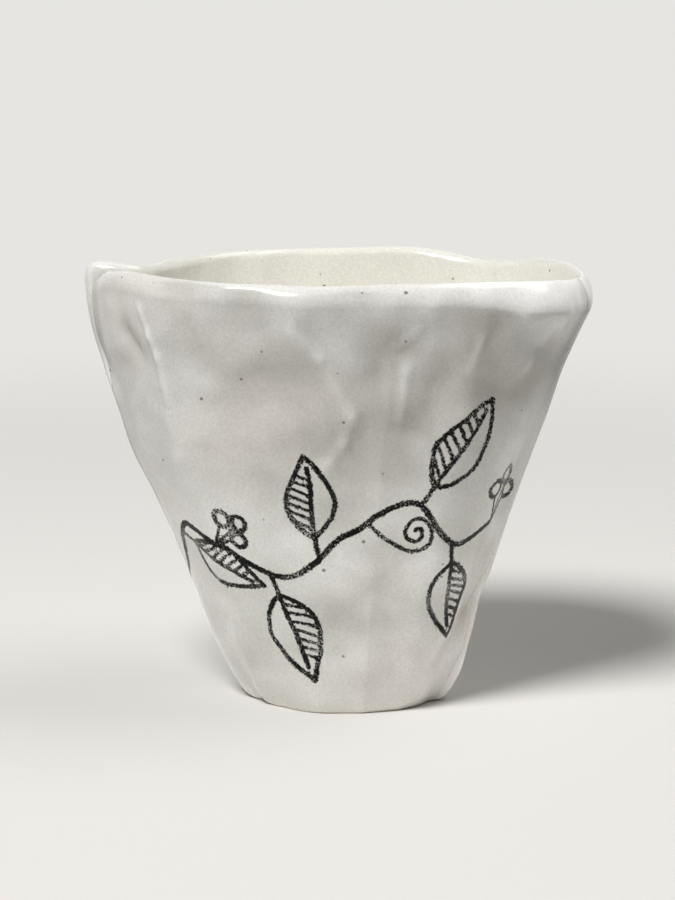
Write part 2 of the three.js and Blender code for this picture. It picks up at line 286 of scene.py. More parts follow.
# The back slab runs from the lapped seam, round the right side and the back, to the pinched seam.
backSlab = {
    "name": "backWall",
    "node": "back_wall_slab",
    "pinchedFirst": False,
    "rim": planLine(rimHalf, [
        (0.985, -0.43), (1, -0.1), (0.9, 0.46), (0.58, 0.9), (0.05, 1), (-0.46, 0.91), (-0.75, 0.52),
        (-0.87, rimPair), (-1.078, rimPair)]),
    "belly": planLine(rimHalf, [
        (0.985, -0.43), (1, -0.1), (0.9, 0.46), (0.58, 0.9), (0.05, 1), (-0.46, 0.92), (-0.81, 0.62),
        (-1, 0.2), (-1.03, -0.12), (-0.93, -0.4)]),
    "foot": planLine(footHalf, [
        (0.95, -0.45), (1, 0.02), (0.84, 0.56), (0.44, 0.91), (0, 1), (-0.42, 0.92), (-0.8, 0.56),
        (-0.985, 0.06), (-0.85, -0.4)]),
    "tipRise": (57, 66),     # heights between which the feathered end's tip comes up to the slab's middle
    "earRadius": 4,
    "lipFall": (3.2, 3),
    "rimWave": [-2.6, -0.8, -0.4, -1.4, 0.85, 0.65, 0.3, 0, -0.4, 1.3],
    "lapRadius": 4.5,
    "lapPaintedShade": 0.2,
    "presses": [
        ((0, 88), (0.06, 88), 11, -1),
        ((0.01, 6.5), (0.03, 4), 3.4, -0.8),
        ((0.18, 54), (0.2, 44), 9, 1),
        ((0.32, 64), (0.34, 62), 9, 0.9),
        ((0.42, 44), (0.46, 38), 9, 0.9),
        ((0.52, 70), (0.56, 62), 8, 0.9),
        ((0.62, 56), (0.66, 44), 8, -0.5),
        ((0.68, 48), (0.7, 40), 9, 1),
        ((0.8, 64), (0.81, 56), 8, 1),
        ((0.93, 39), (0.93, 38), 6, 1),
        ((0.4, 20), (0.42, 20), 8, 0.8),
        ((0.72, 19), (0.74, 19), 8, 0.8),
    ],
    "skinPresses": [
        ((0.005, 25), (0.01, 5), 3, -0.45),
        ((0.12, 72), (0.15, 66), 5, 0.4),
        ((0.26, 40), (0.28, 34), 5, 0.4),
        ((0.36, 76), (0.4, 75), 4.5, 0.4),
        ((0.48, 56), (0.5, 50), 5, 0.5),
        ((0.6, 74), (0.62, 70), 4.5, 0.5),
        ((0.74, 72), (0.76, 68), 4.5, 0.4),
        ((0.57, 30), (0.58, 26), 5, -0.4),
        ((0.3, 52), (0.33, 46), 3, -0.3),
    ],
    "stem": [(0.06, 38), (0.16, 33), (0.28, 38), (0.4, 44), (0.52, 36), (0.62, 31), (0.74, 37)],
    "step": 0.55,
    "rowStep": 0.5,
    "seed": 23,
}


# The slab's own length at a height.
def slabLength(slab, height):
    return lerp(slab["foot"]["length"], slab["rim"]["length"], height / cup["height"])


# How far presses push inwards at a share of the slab's length and a height.
def pressedIn(slab, presses, share, height):
    length = slabLength(slab, height)
    total = np.zeros_like(height)
    for (shareFrom, heightFrom), (shareTo, heightTo), reach, depth in presses:
        runAlong, runUp = (shareTo - shareFrom) * length, heightTo - heightFrom
        offAlong, offUp = (share - shareFrom) * length, height - heightFrom
        squared = np.maximum(runAlong ** 2 + runUp ** 2, 1e-9)
        part = np.clip((offAlong * runAlong + offUp * runUp) / squared, 0, 1)
        away = np.hypot(offAlong - part * runAlong, offUp - part * runUp)
        total += lerp(*np.broadcast_to(depth, 2), part) * np.exp(-(away / reach) ** 2)
    return total


# The middle of a slab's thickness at a share of its length and a height.
def slabMiddle(slab, share, height):
    rise = height / cup["height"]
    fin = smoothStep(height, cup["finLow"], cup["finHigh"])
    upper = lerp(planPoint(slab["belly"], share), planPoint(slab["rim"], share), fin[..., None])
    plan = lerp(planPoint(slab["foot"], share), upper, rise[..., None])
    side = plan[..., 0] / lerp(footHalf[0], rimHalf[0], rise)
    leftSwell = cup["leftBow"] * np.sin(np.pi * np.maximum(rise, 0) ** cup["leftBowRise"])
    leftSwell = leftSwell + 4 * cup["finSwell"] * fin * (1 - fin)
    rightSwell = cup["rightBow"] * np.sin(np.pi * rise)
    plan[..., 0] += np.where(side < 0, leftSwell, rightSwell) * side * np.abs(side)
    plan *= 1 - cup["footTuck"] * np.clip(1 - height / cup["tuckHeight"], 0, 1)[..., None] ** 2
    held = np.clip(share, 0, 1)
    heading = lerp(alongLine(slab["belly"], held, "heading"), alongLine(slab["rim"], held, "heading"),
                   fin[..., None])
    inward = np.stack([-heading[..., 1], heading[..., 0]], -1)
    inward /= np.linalg.norm(inward, axis=-1, keepdims=True)
    plan += inward * pressedIn(slab, slab["presses"], share, height)[..., None]
    return np.concatenate([plan, height[..., None]], -1)


# The direction square to that middle surface, outwards.
def slabOutward(slab, share, height):
    nudge = 1e-3
    along = slabMiddle(slab, share + nudge, height) - slabMiddle(slab, share - nudge, height)
    up = slabMiddle(slab, share, height + nudge) - slabMiddle(slab, share, height - nudge)
    square = np.cross(along, up)
    return square / np.linalg.norm(square, axis=-1, keepdims=True)


# Soft waves left by fingers: long ones that the light shows, and short ones in the glaze.
fingers = {"longWaves": 16, "longLength": (11, 26), "longDepth": 0.2,
           "shortWaves": 18, "shortLength": (4, 9), "shortDepth": 0.06,
           "limit": 0.45, "sunk": 0.3,
           "settle": (1, 9),          # distances from ends and table between which the waves set in
           "insideShare": 0.5, "insideSeed": 50}


def fingerWaves(seed, count, lengths, depth, across, up):
    draw = np.random.default_rng(seed)
    total = np.zeros_like(up)
    for _ in range(count):
        turn, phase = draw.uniform(0, 2 * np.pi, 2)
        pitch = 2 * np.pi / draw.uniform(*lengths)
        total += np.sin(pitch * (across * np.cos(turn) + up * np.sin(turn)) + phase)
    return total * depth / math.sqrt(count / 2)


def unevenness(seed, across, up):
    slow = fingerWaves(seed, fingers["longWaves"], fingers["longLength"], fingers["longDepth"], across, up)
    quick = fingerWaves(seed + 1, fingers["shortWaves"], fingers["shortLength"], fingers["shortDepth"],
                        across, up)
    return slow + quick


# Where a place on the slab lay when the slab was still flat: a sector of a ring, in millimetres.
def flatPlace(slab, share, height):
    spread = (slab["rim"]["length"] - slab["foot"]["length"]) / cup["height"]
    radius = slabLength(slab, height) / spread
    turn = (share - 0.5) * spread
    return np.stack([radius * np.sin(turn), radius * np.cos(turn) - slab["foot"]["length"] / spread], -1)


# How finely a slab is netted; the drawn band is the finest
rows = {"foot": 9, "lip": 12, "bandLow": 10, "bandHigh": 62, "plainStep": 0.8, "insideStep": 1.1, "end": 12}
# How far the clay is smoothed over where two pieces meet, and the painted shade in the gaps that stay open
smoothing = {
    "seam": 5,
    "groove": 0.2,
    "lap": 4,
    "lapLow": 58,             # the lapped seam is smoothed over below, and open above
    "lapHigh": 74,
    "inside": 4,
    "insideGroove": 0.8,      # share by which that is less in the groove
    "endRun": (0, 3),
    "coilRun": (1, 4),
    "reach": 22,              # the pinched seam is smoothed this far from its end
    "reachFade": 6,
    "swell": 0.25,            # share of its reach by which a surface swells at most
    # Painted shade in the gaps: it sets in this far from the other slab and is full this near, in
    # millimetres, and the fin's inside gets a share of it
    "paintedShadeFrom": 4.2,
    "paintedShadeTo": 1.2,
    "finPaintedShade": 0.3,
    "finPaintedShadeRun": (6, 10),
}
nowhere = 9.0  # metres, out of reach of every pencil stroke


# Distances from the first end: closer over the two rounded ends, even between.
def slabStations(run, step):
    radius = cup["wall"]
    ends = radius * (1 - np.cos(np.linspace(0, np.pi / 2, rows["end"])))
    between = np.linspace(radius, run - radius, int((run - 2 * radius) / step))[1:-1]
    return np.concatenate([ends, between, (run - ends)[::-1]])


# A slab at each of its stations: how far along it lies, and how thick, tall and leaning its lip is.
def slabAt(slab):
    run = slab["rim"]["length"]
    first = slabStations(run, slab["step"])[:, None]
    share = first / run
    fromEnd = np.minimum(first, run - first)
    fromPinch = first if slab["pinchedFirst"] else run - first
    atLap = fromPinch > fromEnd
    wander = fingerWaves(slab["seed"] + 2, cup["lipWaves"], cup["lipWaveLength"], cup["lipThin"], first,
                         first * 0)
    wave = smoothCurve([(height, 0) for height in slab["rimWave"]], curvePoints["lip"])[:, 0]
    corner = np.where(atLap, slab["lapRadius"], slab["earRadius"])
    top = cup["height"] + np.interp(share, np.linspace(0, 1, len(wave)), wave) - roundOff(fromEnd, corner)
    nearLap = 1 - smoothStep(run - fromPinch, *cup["lipChange"])
    fall = lerp(*slab["lipFall"], nearLap)
    return {
        "share": share,
        "fromEnd": fromEnd,
        "fromPinch": fromPinch,
        "fromLap": run - fromPinch,
        "atLap": atLap,
        "nearLap": nearLap,
        "nearSeam": 1 - smoothStep(fromPinch, smoothing["reach"] - smoothing["reachFade"],
                                   smoothing["reach"]),
        "half": cup["wall"] / 2 * (1 - np.abs(wander) * smoothStep(fromEnd, *cup["lipThinRun"])),
        "top": top,
        "fall": fall,
        "edge": top - fall,
        "bevel": lerp(*cup["lipBevel"], nearLap),
        "lean": lerp(*cup["lipLean"], nearLap),
    }


# Shares up the straight part of the outside, with more rows in the band that is drawn on.
def bodyShares(low, rowStep):
    high = cup["height"] - cup["wall"] / 2
    heights = [np.arange(low, rows["bandLow"], rows["plainStep"]),
               np.arange(rows["bandLow"], rows["bandHigh"], rowStep),
               np.arange(rows["bandHigh"], high, rows["plainStep"])]
    return (np.concatenate(heights) - low) / (high - low)


# Rows up the outside from the foot to the lip: their heights, and how far across the thickness they lie,
# from -1 at the inside face to 1 at the outside face.
def outsideRows(slab, at):
    bottom = -cup["wall"] / 2
    knee = bottom + cup["footRadius"]
    touch = math.acos(1 + bottom / cup["footRadius"])
    footTurn = np.linspace(touch, np.pi / 2, rows["foot"], endpoint=False)
    lipTurn = np.linspace(0, np.pi / 2, rows["lip"], endpoint=False)
    body = bodyShares(knee, slab["rowStep"])
    every = np.ones_like(at["share"])
    height = np.concatenate([every * (bottom + cup["footRadius"] * (1 - np.cos(footTurn))),
                             knee + (at["edge"] - knee) * body,
                             at["edge"] + at["fall"] * np.sin(lipTurn) ** at["bevel"]], 1)
    across = np.concatenate([every * lerp(cup["footLine"], 1, np.sin(footTurn)),
                             every * (body * 0 + 1),
                             lerp(at["lean"], 1, np.cos(lipTurn) ** at["bevel"])], 1)
    return height, across


# Rows up the inside in the same way, and how cream each is.
def insideRows(at):
    turn = np.linspace(0, np.pi / 2, rows["lip"], endpoint=False)
    body = np.linspace(0, 1, int(cup["height"] / rows["insideStep"]), endpoint=False)
    shoulder = at["top"] - at["half"]
    height = np.concatenate([shoulder * body, shoulder + at["half"] * np.sin(turn)], 1)
    across = np.concatenate([np.ones_like(shoulder) * (body * 0 - 1), lerp(at["lean"], -1, np.cos(turn))], 1)
    return height, across, np.concatenate([body * 0 + 1, np.cos(turn)])


# 1 where the slabs' ends stand apart: at the lapped seam, and near the rim at the pinched seam.
def grooveAt(at, height):
    low = cup["height"] - cup["grooveLength"] - cup["grooveFade"]
    opened = smoothStep(height, low, cup["height"] - cup["grooveLength"])
    return np.where(at["atLap"], 1, opened)


def lapOpen(height):
    return smoothStep(height, smoothing["lapLow"], smoothing["lapHigh"])


# Points of a slab at heights and places across it, with the skin's waves and presses, and each one's depth.
def slabPlace(slab, at, height, across, seed, skinShare, pressShare):
    share, fromEnd, half = at["share"], at["fromEnd"], at["half"]
    rounded = across * (half - cup["endThin"] * roundOff(fromEnd, half))
    thinned = cup["endThin"] * roundOff(fromEnd, cup["seamFeather"],
                                        cup["seamFullness"]) / cup["seamFeather"]
    tip = half * (smoothStep(height, *slab["tipRise"]) - 1)
    offset = lerp(lerp(across * half, tip, thinned), rounded, grooveAt(at, height))
    settled = smoothStep(fromEnd, *fingers["settle"]) * smoothStep(height, *fingers["settle"])
    settled = settled * np.clip(np.abs(across - at["lean"]), 0, 1)
    skin = unevenness(seed, (share - 0.5) * slabLength(slab, height), height)
    skin = (fingers["limit"] * np.tanh(skin / fingers["limit"]) - fingers["sunk"]) * settled
    pressed = pressedIn(slab, slab["skinPresses"], share, height) * settled
    offset = offset + skinShare * skin - pressShare * pressed
    point = slabMiddle(slab, share, height) + slabOutward(slab, share, height) * offset[..., None]
    point[..., 2] = np.maximum(point[..., 2], 0)
    low = np.clip(1 - point[..., 2] / cup["seamLiftRise"], 0, 1) ** 2
    point[..., 2] += cup["seamLift"] * (1 - smoothStep(at["fromPinch"], *cup["seamLiftRun"])) * low
    point[..., 2] += cup["lapLift"] * (1 - smoothStep(at["fromLap"], *cup["lapLiftRun"])) * low
    return point, pressedIn(slab, slab["presses"], share, height) + pressed - skin


# How far the clay is smoothed over towards the other slab.
def seamReach(at, height):
    pinched = lerp(smoothing["seam"], smoothing["groove"], grooveAt(at, height) ** 2) * at["nearSeam"]
    return np.where(at["atLap"], lerp(smoothing["lap"], smoothing["groove"], lapOpen(height)), pinched)


# Painted light outside: a painted highlight on the lip near the lapped seam, a little painted shade on the
# rest of the lip, and painted shade along the edges in the groove.
def outsidePaintedLight(at, height):
    fade = cup["lipPaintedLightFade"]
    # Painted highlight on the lip near the lapped seam, a little painted shade on the rest of it
    onLip = smoothStep(height, at["edge"] - fade, at["edge"] + fade) * lerp(*cup["lipPaintedLight"], at["nearLap"])
    # Painted shade along the edges in the groove
    atEdge = grooveAt(at, height) ** 2 * (1 - smoothStep(at["fromPinch"], *cup["edgePaintedShadeRun"]))
    return atEdge * cup["edgePaintedShade"] - onLip


# Painted shade in the gaps between the slabs, where a shadow falls: how dark the clay may be painted inside,
# on top and outside.
def paintedGapShades(slab, at, insideHeight, outsideHeight):
    parted = grooveAt(at, insideHeight) ** 4 * (1 - smoothStep(at["fromPinch"], *smoothing["finPaintedShadeRun"]))
    inside = np.where(at["atLap"], 0, parted) * smoothing["finPaintedShade"]
    gaping = grooveAt(at, outsideHeight) ** 4 * at["nearSeam"]
    outside = np.where(at["atLap"], lapOpen(outsideHeight) * slab["lapPaintedShade"], gaping)
    return inside, at["nearSeam"], outside


# A slab as a net of points: stations along it, and round its section up the inside and down the outside. It
# comes with the values that its points keep, and with the number of the top row.
def slabNet(slab):
    at = slabAt(slab)
    insideHeight, insideAcross, cream = insideRows(at)
    outsideHeight, outsideAcross = outsideRows(slab, at)
    seed = slab["seed"]
    insidePoint, insidePoolAndLight = slabPlace(slab, at, insideHeight, insideAcross, seed + fingers["insideSeed"],
                                        fingers["insideShare"], 0)
    topPoint, topPoolAndLight = slabPlace(slab, at, at["top"], at["lean"], seed, 0, 0)
    outsidePoint, outsidePoolAndLight = slabPlace(slab, at, outsideHeight, outsideAcross, seed, 1, 1)
    outsidePoolAndLight = outsidePoolAndLight + outsidePaintedLight(at, outsideHeight)
    inGroove = grooveAt(at, insideHeight) * at["nearSeam"] * smoothing["insideGroove"]
    insideReach = smoothing["inside"] * (1 - inGroove)
    endReach = lerp(seamReach(at, insideHeight), insideReach,
                    smoothStep(at["fromEnd"], *smoothing["endRun"]))
    coilReach = insideReach * smoothStep(at["fromEnd"], *smoothing["coilRun"])
    creamInside = cream * smoothStep(at["fromPinch"], *cup["creamRun"])
    plainTop, plainOutside = np.zeros_like(at["top"]), np.zeros_like(outsideHeight)

    def roundSection(inside, top, outside):
        return np.concatenate([inside, top, outside[:, ::-1]], 1)

    points = roundSection(insidePoint, topPoint, outsidePoint)
    flat = np.full(points.shape, nowhere)
    flat[:, -outsideHeight.shape[1]:, :2] = flatPlace(slab, at["share"], outsideHeight)[:, ::-1] * mm
    flat[..., 2] = 0
    values = {
        "slabFlat": flat,
        # Pooled glaze, and painted light: painted shade in dents and the groove, painted highlight on ridges
        # and the lip
        "pool": roundSection(insidePoolAndLight, topPoolAndLight, outsidePoolAndLight),
        "within": roundSection(creamInside, plainTop, plainOutside),
        "seamReach": roundSection(endReach, seamReach(at, at["top"]), seamReach(at, outsideHeight)) * mm,
        "coilReach": roundSection(coilReach, plainTop, plainOutside) * mm,
        # Painted shade in the gaps between the slabs
        "crack": roundSection(*paintedGapShades(slab, at, insideHeight, outsideHeight)),
    }
    return points, values, insideHeight.shape[1]


# Triangles that close an end: up the two sides of its section, which meet at the top row.
def endStrip(height, top):
    inner, outer = 0, len(height) - 1
    strip = []
    while inner < top or outer > top:
        if inner < top and (outer == top or height[inner + 1] <= height[outer - 1]):
            strip.append((inner, inner + 1, outer))
            inner += 1
        else:
            strip.append((inner, outer - 1, outer))
            outer -= 1
    return np.array(strip)


# Points closer than the weld, in metres, become one, and edges are sharp from an angle in degrees.
meshing = {"weld": 1e-6, "sharpAngle": 50}


# A mesh object from a net of points that is closed round its sections, with values kept on its points.
# With a top row given, its two ends are closed as well.
def netObject(name, points, values, top=None):
    stations, ring = points.shape[:2]
    index = np.arange(stations * ring).reshape(stations, ring)
    beside = np.roll(index, -1, axis=1)
    faces = np.stack([index[:-1], beside[:-1], beside[1:], index[1:]], -1).reshape(-1, 4).tolist()
    for station in (0, stations - 1) if top else ():
        faces += (endStrip(points[station, :, 2], top) + station * ring).tolist()
    mesh = bpy.data.meshes.new(name)
    mesh.from_pydata((points.reshape(-1, 3) * mm).tolist(), [], faces)
    for key, value in values.items():
        wide = value.ndim == 3
        attribute = mesh.attributes.new(key, "FLOAT_VECTOR" if wide else "FLOAT", "POINT")
        attribute.data.foreach_set("vector" if wide else "value",
                                   np.ascontiguousarray(value, np.float32).ravel())
    net = bmesh.new()
    net.from_mesh(mesh)
    bmesh.ops.remove_doubles(net, verts=net.verts, dist=meshing["weld"])
    bmesh.ops.dissolve_degenerate(net, edges=net.edges, dist=meshing["weld"])
    bmesh.ops.recalc_face_normals(net, faces=net.faces)
    net.to_mesh(mesh)
    net.free()
    mesh.shade_smooth()
    mesh.set_sharp_from_angle(angle=math.radians(meshing["sharpAngle"]))
    return placed(name, mesh)


# Glazed clay: pale clay under a clear glossy glaze, hand smoothed. The eye sees soft grey-white with fine
# grain, a few dark iron specks, glaze a shade darker where it pools in dents and paler on ridges, which also
# paints shade and light onto the relief, a painted highlight on the lip, painted shade in the groove and the
# gaps between the slabs, cream inside the cup, and bare clay on the narrow ring that stood on the kiln shelf.
glaze = {
    "ridge": "#f3f2ee",
    "plain": "#e0dfda",
    "pool": "#c3c1ba",
    "blush": "#e4d9d3",
    "inside": "#e2e0d5",
    "speck": "#6a6359",
    "ink": "#090909",
    "bare": "#cfc6b5",
    "bareHeight": 0.2,        # millimetres above the table
    "cloud": 12,              # millimetres, as are the next sizes
    "tint": 30,
    "grain": 0.5,             # coarser than real clay's, so that it shows
    "speckCell": 3.8,
    "speckSize": 0.4,
    "poolAndPaintedLightRange": (-0.6, 1.6),  # from the palest ridge or painted highlight to the deepest pool or painted shade
    "cloudShare": 0.4,
    "ridgeStop": 0.25,
    "plainStop": 0.5,
    "blushRange": (0.45, 0.7),
    "blushShare": 0.3,
    "speckRarity": 2.2,
    "speckEdge": 0.02,
    "speckShade": 0.85,
    "grainRange": (0.3, 0.7),
    "grainShade": (0.9, 1.04),
    "grainDepth": 0.02,
    # How dark the painted shade in the gaps between slabs is at most
    "paintedGapShadeStrength": 0.7,
    "roughness": 0.17,
    "bareRoughness": 0.85,
    "shine": (0.5, 0.12),     # on plain glaze, and over the pencil
    "ior": 1.5,
}


def glazedClay():
    material = bpy.data.materials.new("glazed_clay")
    material.use_nodes = True
    tree = material.node_tree
    tree.nodes.clear()
    place = addNode(tree, "ShaderNodeTexCoord").outputs["Object"]
    pool = addNode(tree, "ShaderNodeAttribute", attribute_name="pool").outputs["Fac"]
    within = addNode(tree, "ShaderNodeAttribute", attribute_name="within").outputs["Fac"]
    crack = addNode(tree, "ShaderNodeAttribute", attribute_name="crack").outputs["Fac"]
    cloud = addNode(tree, "ShaderNodeTexNoise",
                    {"Vector": place, "Scale": 1 / (glaze["cloud"] * mm), "Detail": 5})
    tint = addNode(tree, "ShaderNodeTexNoise",
                   {"Vector": place, "Scale": 1 / (glaze["tint"] * mm), "Detail": 1})
    grain = addNode(tree, "ShaderNodeTexNoise",
                    {"Vector": place, "Scale": 1 / (glaze["grain"] * mm), "Detail": 2})
    # Darker where glaze pools in dents, paler on ridges: partly the glaze's own colour, partly painted shade
    # and painted highlight on the relief
    poolAndLightShare = addNode(tree, "ShaderNodeMapRange", {"Value": pool, "From Min": glaze["poolAndPaintedLightRange"][0],
                                                  "From Max": glaze["poolAndPaintedLightRange"][1]})
    clouded = addNode(tree, "ShaderNodeMath", {
        0: cloud.outputs["Fac"], 1: glaze["cloudShare"], 2: poolAndLightShare.outputs[0]}, operation="MULTIPLY_ADD")
    shade = addNode(tree, "ShaderNodeValToRGB", {"Fac": clouded.outputs[0]})
    ramp = shade.color_ramp
    ramp.elements[0].color = hexColour(glaze["ridge"])
    ramp.elements[0].position = glaze["ridgeStop"]
    ramp.elements[1].color = hexColour(glaze["pool"])
    ramp.elements[1].position = 1
    ramp.elements.new(glaze["plainStop"]).color = hexColour(glaze["plain"])
    warm = addNode(tree, "ShaderNodeMapRange", {
        "Value": tint.outputs["Fac"], "From Min": glaze["blushRange"][0], "From Max": glaze["blushRange"][1],
        "To Max": glaze["blushShare"]})
    tinted = addNode(tree, "ShaderNodeMix", {"Factor": warm.outputs[0], "A": shade.outputs["Color"],
                                             "B": hexColour(glaze["blush"])}, data_type="RGBA")
    cream = addNode(tree, "ShaderNodeMix", {"Factor": within, "A": tinted.outputs[2],
                                            "B": hexColour(glaze["inside"])}, data_type="RGBA")
    cell = addNode(tree, "ShaderNodeTexVoronoi", {"Vector": place, "Scale": 1 / (glaze["speckCell"] * mm)})
    chance = addNode(tree, "ShaderNodeSeparateColor", {"Color": cell.outputs["Color"]})
    size = addNode(tree, "ShaderNodeMath", {0: chance.outputs["Red"], 1: glaze["speckRarity"]},
                   operation="POWER")
    inDot = addNode(tree, "ShaderNodeMath", {
        0: size.outputs[0], 1: -glaze["speckSize"] / glaze["speckCell"], 2: cell.outputs["Distance"]},
        operation="MULTIPLY_ADD")
    dot = addNode(tree, "ShaderNodeMapRange", {
        "Value": inDot.outputs[0], "From Min": glaze["speckEdge"], "From Max": -glaze["speckEdge"],
        "To Max": glaze["speckShade"]})
    specked = addNode(tree, "ShaderNodeMix", {"Factor": dot.outputs[0], "A": cream.outputs[2],
                                              "B": hexColour(glaze["speck"])}, data_type="RGBA")
    grained = addNode(tree, "ShaderNodeMapRange", {
        "Value": grain.outputs["Fac"],
        "From Min": glaze["grainRange"][0], "From Max": glaze["grainRange"][1],
        "To Min": glaze["grainShade"][0], "To Max": glaze["grainShade"][1]})
    skin = addNode(tree, "ShaderNodeMix", {"Factor": 1.0, "A": specked.outputs[2], "B": grained.outputs[0]},
                   data_type="RGBA", blend_type="MULTIPLY")
    # Painted shade in the gaps between slabs, where a shadow would fall
    shaded = addNode(tree, "ShaderNodeMath", {0: crack, 1: -glaze["paintedGapShadeStrength"], 2: 1.0},
                     operation="MULTIPLY_ADD")
    gapShaded = addNode(tree, "ShaderNodeMix", {"Factor": 1.0, "A": skin.outputs[2], "B": shaded.outputs[0]},
                      data_type="RGBA", blend_type="MULTIPLY")
    ink = inkMask(tree, place)
    drawn = addNode(tree, "ShaderNodeMix", {"Factor": ink, "A": gapShaded.outputs[2],
                                            "B": hexColour(glaze["ink"])}, data_type="RGBA")
    height = addNode(tree, "ShaderNodeSeparateXYZ", {"Vector": place}).outputs["Z"]
    wiped = addNode(tree, "ShaderNodeMapRange", {"Value": height, "From Min": 2 * glaze["bareHeight"] * mm,
                                                 "From Max": glaze["bareHeight"] * mm})
    colour = addNode(tree, "ShaderNodeMix", {"Factor": wiped.outputs[0], "A": drawn.outputs[2],
                                             "B": hexColour(glaze["bare"])}, data_type="RGBA")
    rough = addNode(tree, "ShaderNodeMapRange", {"Value": wiped.outputs[0], "To Min": glaze["roughness"],
                                                 "To Max": glaze["bareRoughness"]})
    shine = addNode(tree, "ShaderNodeMapRange",
                    {"Value": ink, "To Min": glaze["shine"][0], "To Max": glaze["shine"][1]})
    relief = addNode(tree, "ShaderNodeBump", {
        "Height": grain.outputs["Fac"], "Distance": glaze["grainDepth"] * mm, "Strength": 1.0})
    surface = addNode(tree, "ShaderNodeBsdfPrincipled", {
        "Base Color": colour.outputs[2], "Roughness": rough.outputs[0], "IOR": glaze["ior"],
        "Specular IOR Level": shine.outputs[0], "Normal": relief.outputs[0]})
    addNode(tree, "ShaderNodeOutputMaterial", {"Surface": surface.outputs[0]})
    return material


# Underglaze pencil: black, with crumbly edges and gaps where the clay's grain took no pigment.
pencil = {
    "edge": 0.14,             # millimetres, as are the next sizes
    "crumb": 0.36,
    "wander": 0.26,
    "press": 7,
    "gap": 0.3,
    "crumbRange": (0.25, 0.75),
    "pressRange": (0.35, 0.65),
    "pressShift": (-0.06, 0.16),
    "gapRange": (0.34, 0.46),
    "gapShade": 0.45,         # how black the pencil still is in a gap
}


def inkMask(tree, place):
    away = addNode(tree, "ShaderNodeAttribute", attribute_name="inkAway").outputs["Fac"]
    width = addNode(tree, "ShaderNodeAttribute", attribute_name="inkWidth").outputs["Fac"]
    crumb = addNode(tree, "ShaderNodeTexNoise",
                    {"Vector": place, "Scale": 1 / (pencil["crumb"] * mm), "Detail": 3})
    press = addNode(tree, "ShaderNodeTexNoise",
                    {"Vector": place, "Scale": 1 / (pencil["press"] * mm), "Detail": 2})
    fromEdge = addNode(tree, "ShaderNodeMath", {0: width, 1: -0.5, 2: away}, operation="MULTIPLY_ADD")
    rough = addNode(tree, "ShaderNodeMapRange", {
        "Value": crumb.outputs["Fac"],
        "From Min": pencil["crumbRange"][0], "From Max": pencil["crumbRange"][1],
        "To Min": -pencil["wander"] * mm, "To Max": pencil["wander"] * mm})
    edge = addNode(tree, "ShaderNodeMath", {0: fromEdge.outputs[0], 1: rough.outputs[0]}, operation="ADD")
    mark = addNode(tree, "ShaderNodeMapRange", {
        "Value": edge.outputs[0],
        "From Min": pencil["edge"] * mm / 2, "From Max": -pencil["edge"] * mm / 2})
    gaps = addNode(tree, "ShaderNodeTexNoise",
                   {"Vector": place, "Scale": 1 / (pencil["gap"] * mm), "Detail": 1})
    firm = addNode(tree, "ShaderNodeMapRange", {
        "Value": press.outputs["Fac"],
        "From Min": pencil["pressRange"][0], "From Max": pencil["pressRange"][1],
        "To Min": pencil["pressShift"][0], "To Max": pencil["pressShift"][1]})
    filled = addNode(tree, "ShaderNodeMath", {0: gaps.outputs["Fac"], 1: firm.outputs[0]}, operation="ADD")
    weight = addNode(tree, "ShaderNodeMapRange", {
        "Value": filled.outputs[0], "From Min": pencil["gapRange"][0], "From Max": pencil["gapRange"][1],
        "To Min": pencil["gapShade"], "To Max": 1})
    mask = addNode(tree, "ShaderNodeMath", {0: mark.outputs[0], 1: weight.outputs[0]}, operation="MULTIPLY")
    return mask.outputs[0]


# Bare clay: unglazed and matte where the foot stood in the kiln, warmer, with a coarser grain.
underside = {"grain": 1.2, "grainDepth": 0.15, "grainRange": (0.3, 0.7), "grainShade": (0.82, 1.05)}


def bareClay():
    material = bpy.data.materials.new("bare_clay")
    material.use_nodes = True
    tree = material.node_tree
    tree.nodes.clear()
    place = addNode(tree, "ShaderNodeTexCoord").outputs["Object"]
    grain = addNode(tree, "ShaderNodeTexNoise",
                    {"Vector": place, "Scale": 1 / (underside["grain"] * mm), "Detail": 5})
    shade = addNode(tree, "ShaderNodeMapRange", {
        "Value": grain.outputs["Fac"],
        "From Min": underside["grainRange"][0], "From Max": underside["grainRange"][1],
        "To Min": underside["grainShade"][0], "To Max": underside["grainShade"][1]})
    colour = addNode(tree, "ShaderNodeMix", {
        "Factor": 1.0, "A": hexColour(glaze["bare"]), "B": shade.outputs[0]},
        data_type="RGBA", blend_type="MULTIPLY")
    relief = addNode(tree, "ShaderNodeBump", {
        "Height": grain.outputs["Fac"], "Distance": underside["grainDepth"] * mm, "Strength": 1.0})
    surface = addNode(tree, "ShaderNodeBsdfPrincipled", {
        "Base Color": colour.outputs[2], "Roughness": glaze["bareRoughness"], "Normal": relief.outputs[0]})
    addNode(tree, "ShaderNodeOutputMaterial", {"Surface": surface.outputs[0]})
    return material


glazedClayLook = glazedClay()
bareClayLook = bareClay()
print("materials made")

